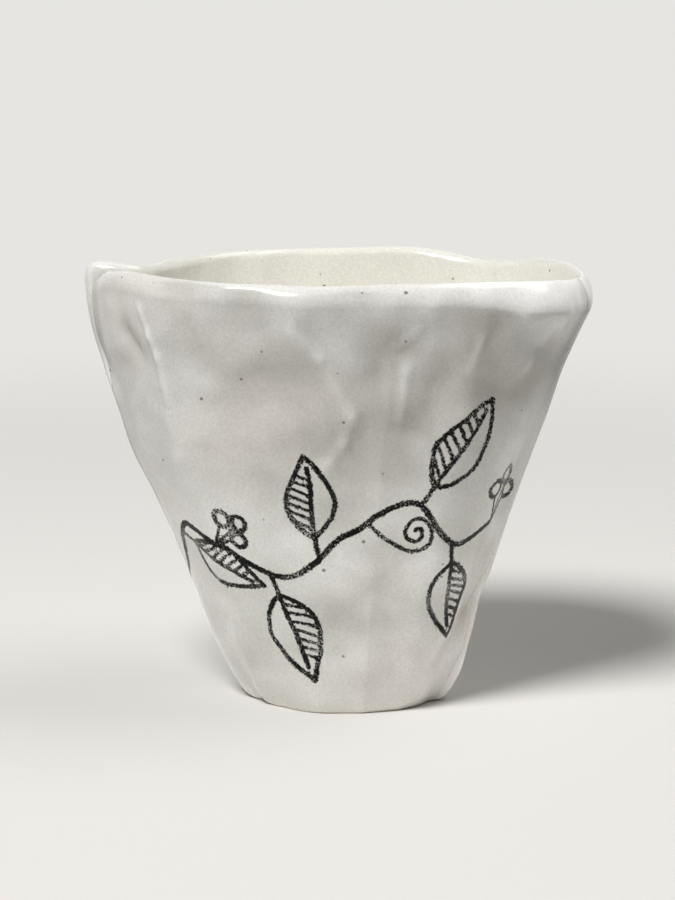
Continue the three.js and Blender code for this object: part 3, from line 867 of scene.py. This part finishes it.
# The drawing: a trailing vine in pencil, laid out on the flat slabs, in millimetres
vine = {
    "leafLength": 16.5,
    "leafWidth": 9.4,
    "leafBelly": 0.8,    # below 1 the leaf is widest nearer its stalk
    "leafTaper": 0.12,
    "plainHalf": 0.95,   # width of the half without hatching, as a share of the other
    "midrib": 0.86,      # share of the leaf's length
    "stalk": 4,
    "hatchFrom": 1.5,
    "hatchTo": 0.8,      # share of the leaf's length
    "hatchGap": 1.7,
    "hatchLean": 0.6,
    "hatchShort": 0.3,
    "berries": ((6.5, 2.6), (9, -0.6), (5.6, -3)),
    "berryRadius": 1.7,
    "tendrilReach": 9,
    "curlRadius": 3.4,
    "curlEnd": 0.5,
    "curlTurns": 1.7,
    "spacing": 10.5,
    "turn": 64,          # degrees from the stem to a leaf
    "turnDrift": (0.85, 1.15),
    "smallest": 0.82,
    "largest": 1.12,
    "wobble": 1.6,       # over the whole range of a noise, which mostly keeps near its middle
    "wobbleLength": 7,
    "stemWidth": 1.2,
    "lineWidth": 1.0,
    "hatchWidth": 0.7,
    "tendrilWidth": 0.85,
    "seed": 5,
}


# How many points the strokes have, and in how many steps a hatch looks for the leaf's edge
strokePoints = {"leaf": 25, "midrib": 12, "hatch": 6, "hatchSearch": 60, "berry": 17, "berryStalk": 6,
                "curl": 50, "tendril": 10}


# Strokes as bare edges that keep the width of the pencil.
def lineArt(name, strokes):
    points, edges, widths = [], [], []
    for stroke, width in strokes:
        start = len(points)
        points += [(x * mm, y * mm, 0) for x, y in stroke]
        edges += [(start + i, start + i + 1) for i in range(len(stroke) - 1)]
        widths += [width * mm] * len(stroke)
    mesh = bpy.data.meshes.new(name)
    mesh.from_pydata(points, edges, [])
    mesh.attributes.new("strokeWidth", "FLOAT", "POINT").data.foreach_set("value", widths)
    return placed(name, mesh)


# A pointed leaf on its stalk: outline, midrib, and one half hatched.
def vineLeaf():
    along = np.linspace(0, 1, strokePoints["leaf"])
    bulge = np.sin(np.pi * along ** vine["leafBelly"])
    side = vine["leafWidth"] / 2 * bulge * (1 - vine["leafTaper"] * along)
    reach = vine["stalk"] + vine["leafLength"] * along
    rib = np.linspace(0, vine["stalk"] + vine["midrib"] * vine["leafLength"], strokePoints["midrib"])
    strokes = [(np.stack([reach, side], 1), vine["lineWidth"]),
               (np.stack([reach, -vine["plainHalf"] * side], 1), vine["lineWidth"]),
               (np.stack([rib, 0 * rib], 1), vine["lineWidth"])]
    hatchEnd = vine["stalk"] + vine["hatchTo"] * vine["leafLength"]
    for start in np.arange(vine["stalk"] + vine["hatchFrom"], hatchEnd, vine["hatchGap"]):
        steps = np.linspace(0, 1, strokePoints["hatchSearch"]) * vine["leafWidth"]
        inLeaf = steps < np.interp(start + vine["hatchLean"] * steps, reach, side) - vine["hatchShort"]
        tall = steps[inLeaf].max(initial=0)
        hatch = np.linspace(0, tall, strokePoints["hatch"])
        strokes.append((np.stack([start + vine["hatchLean"] * hatch, hatch], 1), vine["hatchWidth"]))
    return lineArt("vineLeaf", strokes)


# Three berries on thin stalks.
def vineBerries():
    strokes = []
    turn = np.linspace(0, 2 * np.pi, strokePoints["berry"])
    circle = vine["berryRadius"] * np.stack([np.cos(turn), np.sin(turn)], 1)
    for berry in np.array(vine["berries"]):
        stalkShare = 1 - vine["berryRadius"] / np.linalg.norm(berry)
        strokes.append((berry + circle, vine["lineWidth"]))
        stalk = np.linspace((0, 0), berry * stalkShare, strokePoints["berryStalk"])
        strokes.append((stalk, vine["hatchWidth"]))
    return lineArt("vineBerries", strokes)


# A tendril that curls up at its end.
def vineTendril():
    turn = np.linspace(0, 2 * np.pi * vine["curlTurns"], strokePoints["curl"])
    radius = vine["curlRadius"] * (1 - turn / turn[-1]) + vine["curlEnd"]
    curl = np.stack([vine["tendrilReach"] + radius * np.sin(turn), radius[0] - radius * np.cos(turn)], 1)
    stalk = np.linspace((0, 0), (vine["tendrilReach"], 0), strokePoints["tendril"])
    return lineArt("vineTendril", [(np.concatenate([stalk, curl[1:]]), vine["tendrilWidth"])])


# Leaves to the left and right of a stem in turn, berries or a tendril in every third place, all wobbly.
def vineTree():
    tree, given = newTree("vineDrawing", {
        "Leaf": "Object", "Berries": "Object", "Tendril": "Object", "Spacing": "Float", "Turn": "Float",
        "Least Turn": "Float", "Most Turn": "Float", "Smallest": "Float", "Largest": "Float",
        "Stem Width": "Float", "Wobble": "Float", "Wobble Length": "Float", "Seed": "Int"})
    stem = addNode(tree, "GeometryNodeMeshToCurve", {"Mesh": given["Geometry"]}).outputs[0]
    spots = addNode(tree, "GeometryNodeResampleCurve", {"Curve": stem, "Length": given["Spacing"]},
                    mode="LENGTH")
    count = addNode(tree, "GeometryNodeInputIndex").outputs[0]
    heading = addNode(tree, "GeometryNodeInputTangent").outputs[0]
    odd = addNode(tree, "ShaderNodeMath", {0: count, 1: 2.0}, operation="MODULO")
    side = addNode(tree, "ShaderNodeMath", {0: odd.outputs[0], 1: -2.0, 2: 1.0}, operation="MULTIPLY_ADD")
    sixth = addNode(tree, "ShaderNodeMath", {0: count, 1: 6.0}, operation="MODULO")
    third = addNode(tree, "ShaderNodeMath", {0: count, 1: 3.0}, operation="MODULO")
    aligned = addNode(tree, "FunctionNodeAlignRotationToVector", {"Vector": heading}, axis="X")
    pieces = []
    # Leaves in the first two of three places, berries and a tendril in turn in the third
    turnsOf = (("Leaf", third, 0.5, 0.6), ("Berries", sixth, 2.0, 0.1), ("Tendril", sixth, 5.0, 0.1))
    for art, turns, spot, near in turnsOf:
        shape = addNode(tree, "GeometryNodeObjectInfo", {"Object": given[art]}).outputs["Geometry"]
        drift = addNode(tree, "FunctionNodeRandomValue", {
            2: given["Least Turn"], 3: given["Most Turn"], "Seed": given["Seed"]}, data_type="FLOAT")
        lean = addNode(tree, "ShaderNodeMath", {0: side.outputs[0], 1: given["Turn"]}, operation="MULTIPLY")
        lean = addNode(tree, "ShaderNodeMath", {0: lean.outputs[0], 1: drift.outputs[1]},
                       operation="MULTIPLY")
        spin = addNode(tree, "ShaderNodeCombineXYZ", {"Z": lean.outputs[0]})
        turned = addNode(tree, "FunctionNodeRotateRotation", {
            "Rotation": aligned.outputs[0], "Rotate By": spin.outputs[0]}, rotation_space="LOCAL")
        size = addNode(tree, "FunctionNodeRandomValue", {
            2: given["Smallest"], 3: given["Largest"], "Seed": given["Seed"]}, data_type="FLOAT")
        chosen = addNode(tree, "ShaderNodeMath", {0: turns.outputs[0], 1: spot, 2: near},
                         operation="COMPARE")
        pieces.append(addNode(tree, "GeometryNodeInstanceOnPoints", {
            "Points": spots.outputs[0], "Selection": chosen.outputs[0], "Instance": shape,
            "Rotation": turned.outputs[0], "Scale": size.outputs[1]}).outputs[0])
    line = addNode(tree, "GeometryNodeCurveToMesh", {"Curve": stem})
    line = addNode(tree, "GeometryNodeStoreNamedAttribute", {
        "Geometry": line.outputs[0], "Name": "strokeWidth", "Value": given["Stem Width"]},
        data_type="FLOAT", domain="POINT")
    joined = addNode(tree, "GeometryNodeJoinGeometry")
    for piece in (line.outputs[0], *pieces):
        tree.links.new(piece, joined.inputs[0])
    real = addNode(tree, "GeometryNodeRealizeInstances", {"Geometry": joined.outputs[0]})
    often = addNode(tree, "ShaderNodeMath", {0: 1.0, 1: given["Wobble Length"]}, operation="DIVIDE")
    noise = addNode(tree, "ShaderNodeTexNoise", {"Scale": often.outputs[0], "Detail": 1.0})
    centred = addNode(tree, "ShaderNodeVectorMath", {0: noise.outputs["Color"], 1: (0.5, 0.5, 0.5)},
                      operation="SUBTRACT")
    flat = addNode(tree, "ShaderNodeVectorMath", {0: centred.outputs[0], 1: (1.0, 1.0, 0.0)},
                   operation="MULTIPLY")
    shift = addNode(tree, "ShaderNodeVectorMath", {0: flat.outputs[0], "Scale": given["Wobble"]},
                    operation="SCALE")
    moved = addNode(tree, "GeometryNodeSetPosition",
                    {"Geometry": real.outputs[0], "Offset": shift.outputs[0]})
    endTree(tree, given, moved.outputs[0])
    return tree


# Each point of a slab learns how far it is from the nearest stroke, and how wide that stroke is.
def inkTree():
    tree, given = newTree("inkOnSlab", {"Drawing": "Object"})
    strokes = addNode(tree, "GeometryNodeObjectInfo", {"Object": given["Drawing"]}).outputs["Geometry"]
    flat = addNode(tree, "GeometryNodeInputNamedAttribute", {"Name": "slabFlat"},
                   data_type="FLOAT_VECTOR").outputs[0]
    nearest = addNode(tree, "GeometryNodeProximity", {0: strokes, "Sample Position": flat},
                      target_element="EDGES")
    edge = addNode(tree, "GeometryNodeSampleNearest", {"Geometry": strokes, "Sample Position": flat},
                   domain="EDGE")
    width = addNode(tree, "GeometryNodeInputNamedAttribute", {"Name": "strokeWidth"},
                    data_type="FLOAT").outputs[0]
    wide = addNode(tree, "GeometryNodeSampleIndex", {
        "Geometry": strokes, "Value": width, "Index": edge.outputs[0]}, data_type="FLOAT", domain="EDGE")
    inked = given["Geometry"]
    for name, value in (("inkAway", nearest.outputs["Distance"]), ("inkWidth", wide.outputs[0])):
        inked = addNode(tree, "GeometryNodeStoreNamedAttribute", {
            "Geometry": inked, "Name": name, "Value": value}, data_type="FLOAT", domain="POINT").outputs[0]
    endTree(tree, given, inked)
    return tree


# Where pieces meet, the clay was smoothed over: near another piece each surface swells towards it, so that
# the corner between them becomes a fillet. The reach is the attribute that is named, in metres.
def smoothedTree():
    tree, given = newTree("smoothedSeam", {"Others": "Object", "Reach": "String", "Crack From": "Float",
                                           "Crack To": "Float"})
    others = addNode(tree, "GeometryNodeObjectInfo", {"Object": given["Others"]}).outputs["Geometry"]
    place = addNode(tree, "GeometryNodeInputPosition").outputs[0]
    normal = addNode(tree, "GeometryNodeInputNormal").outputs[0]
    reach = addNode(tree, "GeometryNodeInputNamedAttribute", {"Name": given["Reach"]},
                    data_type="FLOAT").outputs[0]
    nearest = addNode(tree, "GeometryNodeProximity", {0: others, "Sample Position": place},
                      target_element="FACES")
    facing = addNode(tree, "GeometryNodeSampleNearestSurface", {
        "Mesh": others, "Value": normal, "Sample Position": place}, data_type="FLOAT_VECTOR")
    near = addNode(tree, "ShaderNodeMath", {0: nearest.outputs["Distance"], 1: reach}, operation="DIVIDE")
    close = addNode(tree, "ShaderNodeMath", {0: 1.0, 1: near.outputs[0]}, operation="SUBTRACT",
                    use_clamp=True)
    square = addNode(tree, "ShaderNodeMath", {0: close.outputs[0], 1: close.outputs[0]},
                     operation="MULTIPLY")
    swell = addNode(tree, "ShaderNodeMath", {0: square.outputs[0], 1: reach}, operation="MULTIPLY")
    swell = addNode(tree, "ShaderNodeMath", {0: swell.outputs[0], 1: smoothing["swell"]},
                    operation="MULTIPLY")
    both = addNode(tree, "ShaderNodeVectorMath", {0: normal, 1: facing.outputs[0]}, operation="ADD")
    towards = addNode(tree, "ShaderNodeVectorMath", {0: both.outputs[0]}, operation="NORMALIZE")
    shift = addNode(tree, "ShaderNodeVectorMath", {0: towards.outputs[0], "Scale": swell.outputs[0]},
                    operation="SCALE")
    shifted = addNode(tree, "ShaderNodeVectorMath", {0: place, 1: shift.outputs[0]}, operation="ADD")
    lifted = addNode(tree, "ShaderNodeVectorMath", {0: shifted.outputs[0], 1: (-1.0, -1.0, 0.0)},
                     operation="MAXIMUM")
    moved = addNode(tree, "GeometryNodeSetPosition",
                    {"Geometry": given["Geometry"], "Position": lifted.outputs[0]})
    # Painted shade in the gap: its darkness grows as the other piece comes near
    crack = addNode(tree, "GeometryNodeInputNamedAttribute", {"Name": "crack"}, data_type="FLOAT").outputs[0]
    tight = addNode(tree, "ShaderNodeMapRange", {
        "Value": nearest.outputs["Distance"], "From Min": given["Crack From"], "From Max": given["Crack To"]})
    dark = addNode(tree, "ShaderNodeMath", {0: tight.outputs[0], 1: crack}, operation="MULTIPLY")
    marked = addNode(tree, "GeometryNodeStoreNamedAttribute", {
        "Geometry": moved.outputs[0], "Name": "crack", "Value": dark.outputs[0]},
        data_type="FLOAT", domain="POINT")
    endTree(tree, given, marked.outputs[0])
    return tree


# The two wall slabs with the drawing on them
leaf, berries, tendril = vineLeaf(), vineBerries(), vineTendril()
drawVine, inkSlab = vineTree(), inkTree()
walls = {}
for slab in (frontSlab, backSlab):
    points, values, top = slabNet(slab)
    wall = netObject(slab["name"], points, values, top)
    stem = smoothCurve(slab["stem"], curvePoints["stem"])
    drawing = lineArt("vine", [(flatPlace(slab, stem[:, 0], stem[:, 1]), vine["stemWidth"])])
    wearMesh(drawing, nodesMesh(drawing, drawVine, {
        "Leaf": leaf, "Berries": berries, "Tendril": tendril, "Spacing": vine["spacing"] * mm,
        "Turn": math.radians(vine["turn"]),
        "Least Turn": vine["turnDrift"][0], "Most Turn": vine["turnDrift"][1],
        "Smallest": vine["smallest"], "Largest": vine["largest"],
        "Stem Width": vine["stemWidth"] * mm, "Wobble": vine["wobble"] * mm,
        "Wobble Length": vine["wobbleLength"] * mm, "Seed": vine["seed"] + slab["seed"]}))
    wearMesh(wall, nodesMesh(wall, inkSlab, {"Drawing": drawing, "Material": glazedClayLook}))
    discard(drawing)
    walls[slab["node"]] = wall
    print(slab["name"], len(wall.data.polygons), "faces")
for art in (leaf, berries, tendril):
    discard(art)

# The floor slab and the soft coils pressed into the corners
inner = {
    "floorSag": 0.25,        # the floor's underside stands this far above the table
    "floorDip": 0.3,         # and its top this far below its full thickness
    "floorWaves": (31, 10, (7, 16), 0.12),   # seed, count, lengths and depth of finger waves
    "underWaves": (32, 10, (8, 20), 0.06),
    "floorReach": 0.001,     # next to nothing, as the floor slab itself isn't smoothed
    "floorRings": 16,
    "coilRadius": 5,
    "coilShrink": 0.4,
    "coilWaves": (41, 8, (6, 15), 0.25),
    "coilRing": 20,          # radius on which those waves are read
    "dabs": 17,              # finger dabs round the floor coil
    "dabDepth": 0.35,
    "arcSteps": 14,
    "seamCoilRadius": 3.4,
    "seamCoilDrop": 13,
    "leftSeam": ((-0.86, 0), (-0.87, -0.03)),     # shares of the half sizes at foot and rim
    "rightSeam": ((0.64, -0.27), (0.845, -0.4)),
    "pathPoints": 40,
    "coilSteps": 90,
    "coilSides": 28,
    "pressSpacing": 9,       # thumb presses up a seam coil
    "pressDepth": 0.05,
    "tipLength": 24,
    "tipFull": 1.02,         # just above 1, so that the tip keeps a little thickness
    "sides": 144,
}


# Half sizes of the wall's inside face at a height, taken as an oval.
def insideHalf(height):
    slope = math.atan2(cup["rimWidth"] - cup["footWidth"], 2 * cup["height"])
    height = np.asarray(height, float)[..., None]
    tuck = 1 - cup["footTuck"] * np.clip(1 - height / cup["tuckHeight"], 0, 1) ** 2
    return lerp(footHalf, rimHalf, height / cup["height"]) * tuck - cup["wall"] / 2 / math.cos(slope)


# Points round the oval, each moved in by an inset.
def ovalRing(inset, height, turn):
    half = insideHalf(height) - np.asarray(inset)[..., None]
    flat = half * np.stack([np.cos(turn), np.sin(turn)], -1)
    return np.concatenate([flat, np.broadcast_to(np.asarray(height, float), flat.shape[:-1])[..., None]], -1)


def plainValues(points, within, reach):
    shape = points.shape[:2]
    return {"pool": np.zeros(shape), "within": np.full(shape, within), "inkAway": np.ones(shape),
            "inkWidth": np.zeros(shape), "coilReach": np.full(shape, reach * mm), "crack": np.zeros(shape)}


def baseSlab():
    turn = np.linspace(0, 2 * np.pi, inner["sides"] + 1)[:, None]
    share = np.linspace(0, 1, inner["floorRings"])
    inset = -cup["wall"] / 2
    topRing = ovalRing(inset, np.full(turn.shape, cup["floor"]), turn)
    lowRing = ovalRing(inset, np.full(turn.shape, inner["floorSag"]), turn)
    topFace = topRing * share[:, None]
    topWaves = fingerWaves(*inner["floorWaves"], topFace[..., 0], topFace[..., 1])
    topFace[..., 2] = cup["floor"] - inner["floorDip"] + topWaves
    lowFace = lowRing * share[::-1, None]
    lowFace[..., 2] = inner["floorSag"] + fingerWaves(*inner["underWaves"], lowFace[..., 0], lowFace[..., 1])
    points = np.concatenate([topFace, lowFace], 1)
    points[-1] = points[0]
    return netObject("baseSlab", points, plainValues(points, 1.0, inner["floorReach"]))


def baseCoil():
    turn = np.linspace(0, 2 * np.pi, inner["sides"] + 1)[:, None]
    arc = np.linspace(0, np.pi / 2, inner["arcSteps"])
    waves = fingerWaves(*inner["coilWaves"], inner["coilRing"] * np.cos(turn),
                        inner["coilRing"] * np.sin(turn))
    dab = inner["dabDepth"] * np.sin(inner["dabs"] * turn) + waves
    radius = inner["coilRadius"] - inner["coilShrink"] + dab
    deep = cup["wall"] / 2
    inset = np.concatenate([radius * np.cos(arc), np.full_like(turn, -deep), np.full_like(turn, -deep),
                            radius], 1)
    height = np.concatenate([cup["floor"] + radius * np.sin(arc), cup["floor"] + radius,
                             np.full_like(turn, cup["floor"] / 2), np.full_like(turn, cup["floor"] / 2)], 1)
    points = ovalRing(inset, height, turn)
    points[-1] = points[0]
    return netObject("baseCoil", points, plainValues(points, 1.0, smoothing["inside"]))


# A coil along a path: thumbed at even steps, thinned out to its tip.
def coilTree():
    tree, given = newTree("pressedCoil", {
        "Radius": "Float", "Press Spacing": "Float", "Press Depth": "Float", "Tip Length": "Float",
        "Tip Full": "Float", "Steps": "Int", "Sides": "Int", "Reach": "Float"})
    path = addNode(tree, "GeometryNodeMeshToCurve", {"Mesh": given["Geometry"]})
    path = addNode(tree, "GeometryNodeResampleCurve", {"Curve": path.outputs[0], "Count": given["Steps"]},
                   mode="COUNT")
    along = addNode(tree, "GeometryNodeSplineParameter").outputs
    whole = addNode(tree, "ShaderNodeMath", {0: along["Length"], 1: along["Factor"]}, operation="DIVIDE")
    left = addNode(tree, "ShaderNodeMath", {0: whole.outputs[0], 1: along["Length"]}, operation="SUBTRACT")
    tip = addNode(tree, "ShaderNodeMath", {0: left.outputs[0], 1: given["Tip Length"]}, operation="DIVIDE",
                  use_clamp=True)
    rest = addNode(tree, "ShaderNodeMath", {0: 1.0, 1: tip.outputs[0]}, operation="SUBTRACT")
    fallen = addNode(tree, "ShaderNodeMath", {0: rest.outputs[0], 1: 2.0}, operation="POWER")
    full = addNode(tree, "ShaderNodeMath", {0: given["Tip Full"], 1: fallen.outputs[0]},
                   operation="SUBTRACT")
    taper = addNode(tree, "ShaderNodeMath", {0: full.outputs[0]}, operation="SQRT")
    beat = addNode(tree, "ShaderNodeMath", {0: along["Length"], 1: given["Press Spacing"]},
                   operation="DIVIDE")
    turn = addNode(tree, "ShaderNodeMath", {0: beat.outputs[0], 1: 2 * math.pi}, operation="MULTIPLY")
    wave = addNode(tree, "ShaderNodeMath", {0: turn.outputs[0]}, operation="SINE")
    dab = addNode(tree, "ShaderNodeMath", {0: wave.outputs[0], 1: given["Press Depth"], 2: 1.0},
                  operation="MULTIPLY_ADD")
    thick = addNode(tree, "ShaderNodeMath", {0: dab.outputs[0], 1: taper.outputs[0]}, operation="MULTIPLY")
    thick = addNode(tree, "ShaderNodeMath", {0: thick.outputs[0], 1: given["Radius"]}, operation="MULTIPLY")
    ring = addNode(tree, "GeometryNodeCurvePrimitiveCircle", {"Resolution": given["Sides"], "Radius": 1.0},
                   mode="RADIUS")
    coil = addNode(tree, "GeometryNodeCurveToMesh", {
        "Curve": path.outputs[0], "Profile Curve": ring.outputs[0], "Scale": thick.outputs[0],
        "Fill Caps": True})
    coil = addNode(tree, "GeometryNodeSetShadeSmooth", {"Geometry": coil.outputs[0]})
    made = coil.outputs[0]
    for name, value in (("within", 1.0), ("inkAway", 1.0), ("inkWidth", 0.0), ("pool", 0.0), ("crack", 0.0),
                        ("coilReach", given["Reach"])):
        made = addNode(tree, "GeometryNodeStoreNamedAttribute", {
            "Geometry": made, "Name": name, "Value": value}, data_type="FLOAT", domain="POINT").outputs[0]
    endTree(tree, given, made)
    return tree


# A coil up the inside of a seam, between two places given as shares of the foot and rim half sizes.
def seamCoil(name, tree, footShare, rimShare):
    low = cup["floor"] + inner["coilRadius"] / 2
    count = inner["pathPoints"]
    height = np.linspace(low, cup["height"] - inner["seamCoilDrop"], count)[:, None]
    rise = height / cup["height"]
    plan = lerp(np.array(footShare) * footHalf, np.array(rimShare) * rimHalf, rise)
    # On the left the coil follows the wall's bow
    if rimShare[0] < 0:
        plan[:, :1] -= cup["leftBow"] * np.sin(np.pi * rise ** cup["leftBowRise"])
    mesh = bpy.data.meshes.new(name)
    points = np.concatenate([plan, height], 1) * mm
    mesh.from_pydata(points.tolist(), [(i, i + 1) for i in range(count - 1)], [])
    coil = placed(name, mesh)
    wearMesh(coil, nodesMesh(coil, tree, {
        "Radius": inner["seamCoilRadius"] * mm, "Press Spacing": inner["pressSpacing"] * mm,
        "Press Depth": inner["pressDepth"], "Tip Length": inner["tipLength"] * mm,
        "Tip Full": inner["tipFull"], "Steps": inner["coilSteps"], "Sides": inner["coilSides"],
        "Reach": smoothing["inside"] * mm,
        "Material": glazedClayLook}))
    return coil


pressedCoil = coilTree()
pieces = {
    **walls,
    "base_slab": baseSlab(),
    "base_seam_coil": baseCoil(),
    "left_seam_coil": seamCoil("leftCoil", pressedCoil, *inner["leftSeam"]),
    "right_seam_coil": seamCoil("rightCoil", pressedCoil, *inner["rightSeam"]),
}
print("inner pieces made")


# Some of the pieces in one mesh.
def joinedPieces(nodes):
    net = bmesh.new()
    for node in nodes:
        net.from_mesh(pieces[node].data)
    mesh = bpy.data.meshes.new("others")
    net.to_mesh(mesh)
    net.free()
    return placed("others", mesh)


# Pieces are smoothed to the coils and the walls as they were before. The far distances for the painted gap
# shade, in metres, lie beyond the cup and leave that painted shade as it is.
coils = ["base_seam_coil", "left_seam_coil", "right_seam_coil"]
farPaintedShade = (10, 9)
nearPaintedShade = (smoothing["paintedShadeFrom"] * mm, smoothing["paintedShadeTo"] * mm)
smoothedSeam = smoothedTree()
smoothed = {}
for node in pieces:
    if node in walls:
        passes = [(coils, "coilReach", farPaintedShade),
                  ([wall for wall in walls if wall != node], "seamReach", nearPaintedShade)]
    else:
        passes = [([other for other in (*walls, *coils) if other != node], "coilReach", farPaintedShade)]
    mesh = pieces[node].data.copy()
    for nodes, reach, crack in passes:
        others, shell = joinedPieces(nodes), placed("shell", mesh)
        mesh = nodesMesh(shell, smoothedSeam, {
            "Others": others, "Reach": reach, "Crack From": crack[0], "Crack To": crack[1],
            "Material": glazedClayLook})
        discard(others)
        discard(shell)
    smoothed[node] = mesh
for node, piece in pieces.items():
    wearMesh(piece, smoothed[node])
    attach(piece, "root")
    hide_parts(node)

# The floor slab's underside is bare
floorMesh = pieces["base_slab"].data
floorMesh.materials.append(bareClayLook)
for face in floorMesh.polygons:
    face.material_index = 1 if face.center.z < cup["floor"] / 2 * mm else 0
print("seams smoothed")

# Stage: a pale paper bowl. Far from the cup, what the camera and the glaze see of it is one even tone.
stage = {
    "floorNear": "#f8f7f4",   # the paper as it lights the cup, near it and further off
    "floorFar": "#8f8d89",
    "cardFrom": 0.07,         # metres, as are the next sizes
    "cardTo": 0.2,
    "paperRoughness": 0.9,
    "floorSeen": "#d2d0cc",   # the paper as the camera sees it
    "far": "#e6e5e2",
    "fadeFrom": 0.16,
    "fadeTo": 0.6,
    "hole": 0.001,
    "flatFrom": 0.2,
    "flatRadius": 1.6,
    "flatRings": 8,
    "riseRadius": 1.6,
    "rings": 24,
    "sides": 96,
    "air": "#f2f2f0",
    "airStrength": 0.06,
}


def studioPaper():
    material = bpy.data.materials.new("studio_paper")
    material.use_nodes = True
    tree = material.node_tree
    tree.nodes.clear()
    place = addNode(tree, "ShaderNodeTexCoord").outputs["Object"]
    away = addNode(tree, "ShaderNodeVectorMath", {0: place}, operation="LENGTH")
    far = addNode(tree, "ShaderNodeMapRange", {"Value": away.outputs["Value"], "From Min": stage["fadeFrom"],
                                               "From Max": stage["fadeTo"]}, interpolation_type="SMOOTHSTEP")
    path = addNode(tree, "ShaderNodeLightPath").outputs
    seen = addNode(tree, "ShaderNodeMath", {0: path["Is Camera Ray"], 1: path["Is Glossy Ray"]},
                   operation="MAXIMUM")
    seen = addNode(tree, "ShaderNodeMath", {0: seen.outputs[0], 1: path["Is Transmission Ray"]},
                   operation="MAXIMUM")
    even = addNode(tree, "ShaderNodeMath", {0: seen.outputs[0], 1: far.outputs[0]}, operation="MULTIPLY")
    spread = addNode(tree, "ShaderNodeMapRange", {
        "Value": away.outputs["Value"], "From Min": stage["cardFrom"], "From Max": stage["cardTo"]},
        interpolation_type="SMOOTHSTEP")
    card = addNode(tree, "ShaderNodeMix", {"Factor": spread.outputs[0], "A": hexColour(stage["floorNear"]),
                                           "B": hexColour(stage["floorFar"])}, data_type="RGBA")
    tone = addNode(tree, "ShaderNodeMix", {"Factor": path["Is Camera Ray"], "A": card.outputs[2],
                                           "B": hexColour(stage["floorSeen"])}, data_type="RGBA")
    paper = addNode(tree, "ShaderNodeBsdfDiffuse", {
        "Color": tone.outputs[2], "Roughness": stage["paperRoughness"]})
    glow = addNode(tree, "ShaderNodeEmission", {"Color": hexColour(stage["far"]), "Strength": 1.0})
    mixed = addNode(tree, "ShaderNodeMixShader",
                    {0: even.outputs[0], 1: paper.outputs[0], 2: glow.outputs[0]})
    addNode(tree, "ShaderNodeOutputMaterial", {"Surface": mixed.outputs[0]})
    return material


def studioFloor():
    turns = np.linspace(0, np.pi / 2, stage["rings"])
    radius = np.concatenate([[stage["hole"]],
                             np.linspace(stage["flatFrom"], stage["flatRadius"], stage["flatRings"]),
                             stage["flatRadius"] + stage["riseRadius"] * np.sin(turns[1:])])
    height = np.concatenate([np.zeros(1 + stage["flatRings"]),
                             stage["riseRadius"] * (1 - np.cos(turns[1:]))])
    angle = np.linspace(0, 2 * np.pi, stage["sides"], endpoint=False)
    points = np.stack([radius[:, None] * np.cos(angle), radius[:, None] * np.sin(angle),
                       np.broadcast_to(height[:, None], (len(radius), len(angle)))], -1)
    index = np.arange(len(radius) * len(angle)).reshape(len(radius), len(angle))
    beside = np.roll(index, -1, axis=1)
    faces = np.stack([index[:-1], index[1:], beside[1:], beside[:-1]], -1).reshape(-1, 4).tolist()
    faces.append(index[0].tolist())
    mesh = bpy.data.meshes.new("studioFloor")
    mesh.from_pydata(points.reshape(-1, 3).tolist(), [], faces)
    mesh.shade_smooth()
    mesh.materials.append(studioPaper())
    placed("studioFloor", mesh)


studioFloor()

# Soft lamps, in metres and watts, all aimed at the cup's middle
lampAim = (0, 0, 0.05)
lamps = [
    {"name": "highFront", "place": (-0.36, -0.6, 0.95), "size": 0.4, "power": 13},
    {"name": "overhead", "place": (0.46, 0.04, 0.86), "size": 0.7, "power": 3.6},
    {"name": "leftFill", "place": (-0.9, -0.5, 0.25), "size": 0.6, "power": 1},
    {"name": "rightRim", "place": (0.7, 0.35, 0.3), "size": 1.1, "power": 1.4},
]


def addLamps():
    for lamp in lamps:
        light = bpy.data.lights.new(lamp["name"], "AREA")
        light.shape = "DISK"
        light.size = lamp["size"]
        light.energy = lamp["power"]
        holder = bpy.data.objects.new(lamp["name"], light)
        holder.location = lamp["place"]
        away = np.array(lamp["place"]) - np.array(lampAim)
        turn = math.atan2(math.hypot(away[0], away[1]), away[2])
        holder.rotation_euler = (turn, 0, math.atan2(away[1], away[0]) + math.pi / 2)
        scene.collection.objects.link(holder)
    world = bpy.data.worlds.new("studio")
    world.use_nodes = True
    background = world.node_tree.nodes["Background"]
    background.inputs["Color"].default_value = hexColour(stage["air"])
    background.inputs["Strength"].default_value = stage["airStrength"]
    scene.world = world


addLamps()

# The camera stands in millimetres, looks down by degrees, and has its focal length in the photo's pixels.
camera = {"place": (-1.3, -512, 132), "pitch": 9.17, "focal": 2601, "imageHeight": 900, "sensor": 36,
          "nearest": 10}


def addCamera():
    lens = bpy.data.cameras.new("camera")
    lens.sensor_width = camera["sensor"]
    lens.lens = camera["focal"] / camera["imageHeight"] * camera["sensor"]
    lens.clip_start = camera["nearest"] * mm
    holder = bpy.data.objects.new("camera", lens)
    holder.location = [value * mm for value in camera["place"]]
    holder.rotation_euler = (math.radians(90 - camera["pitch"]), 0, 0)
    scene.collection.objects.link(holder)
    scene.camera = holder


addCamera()
print("stage, lamps and camera set")
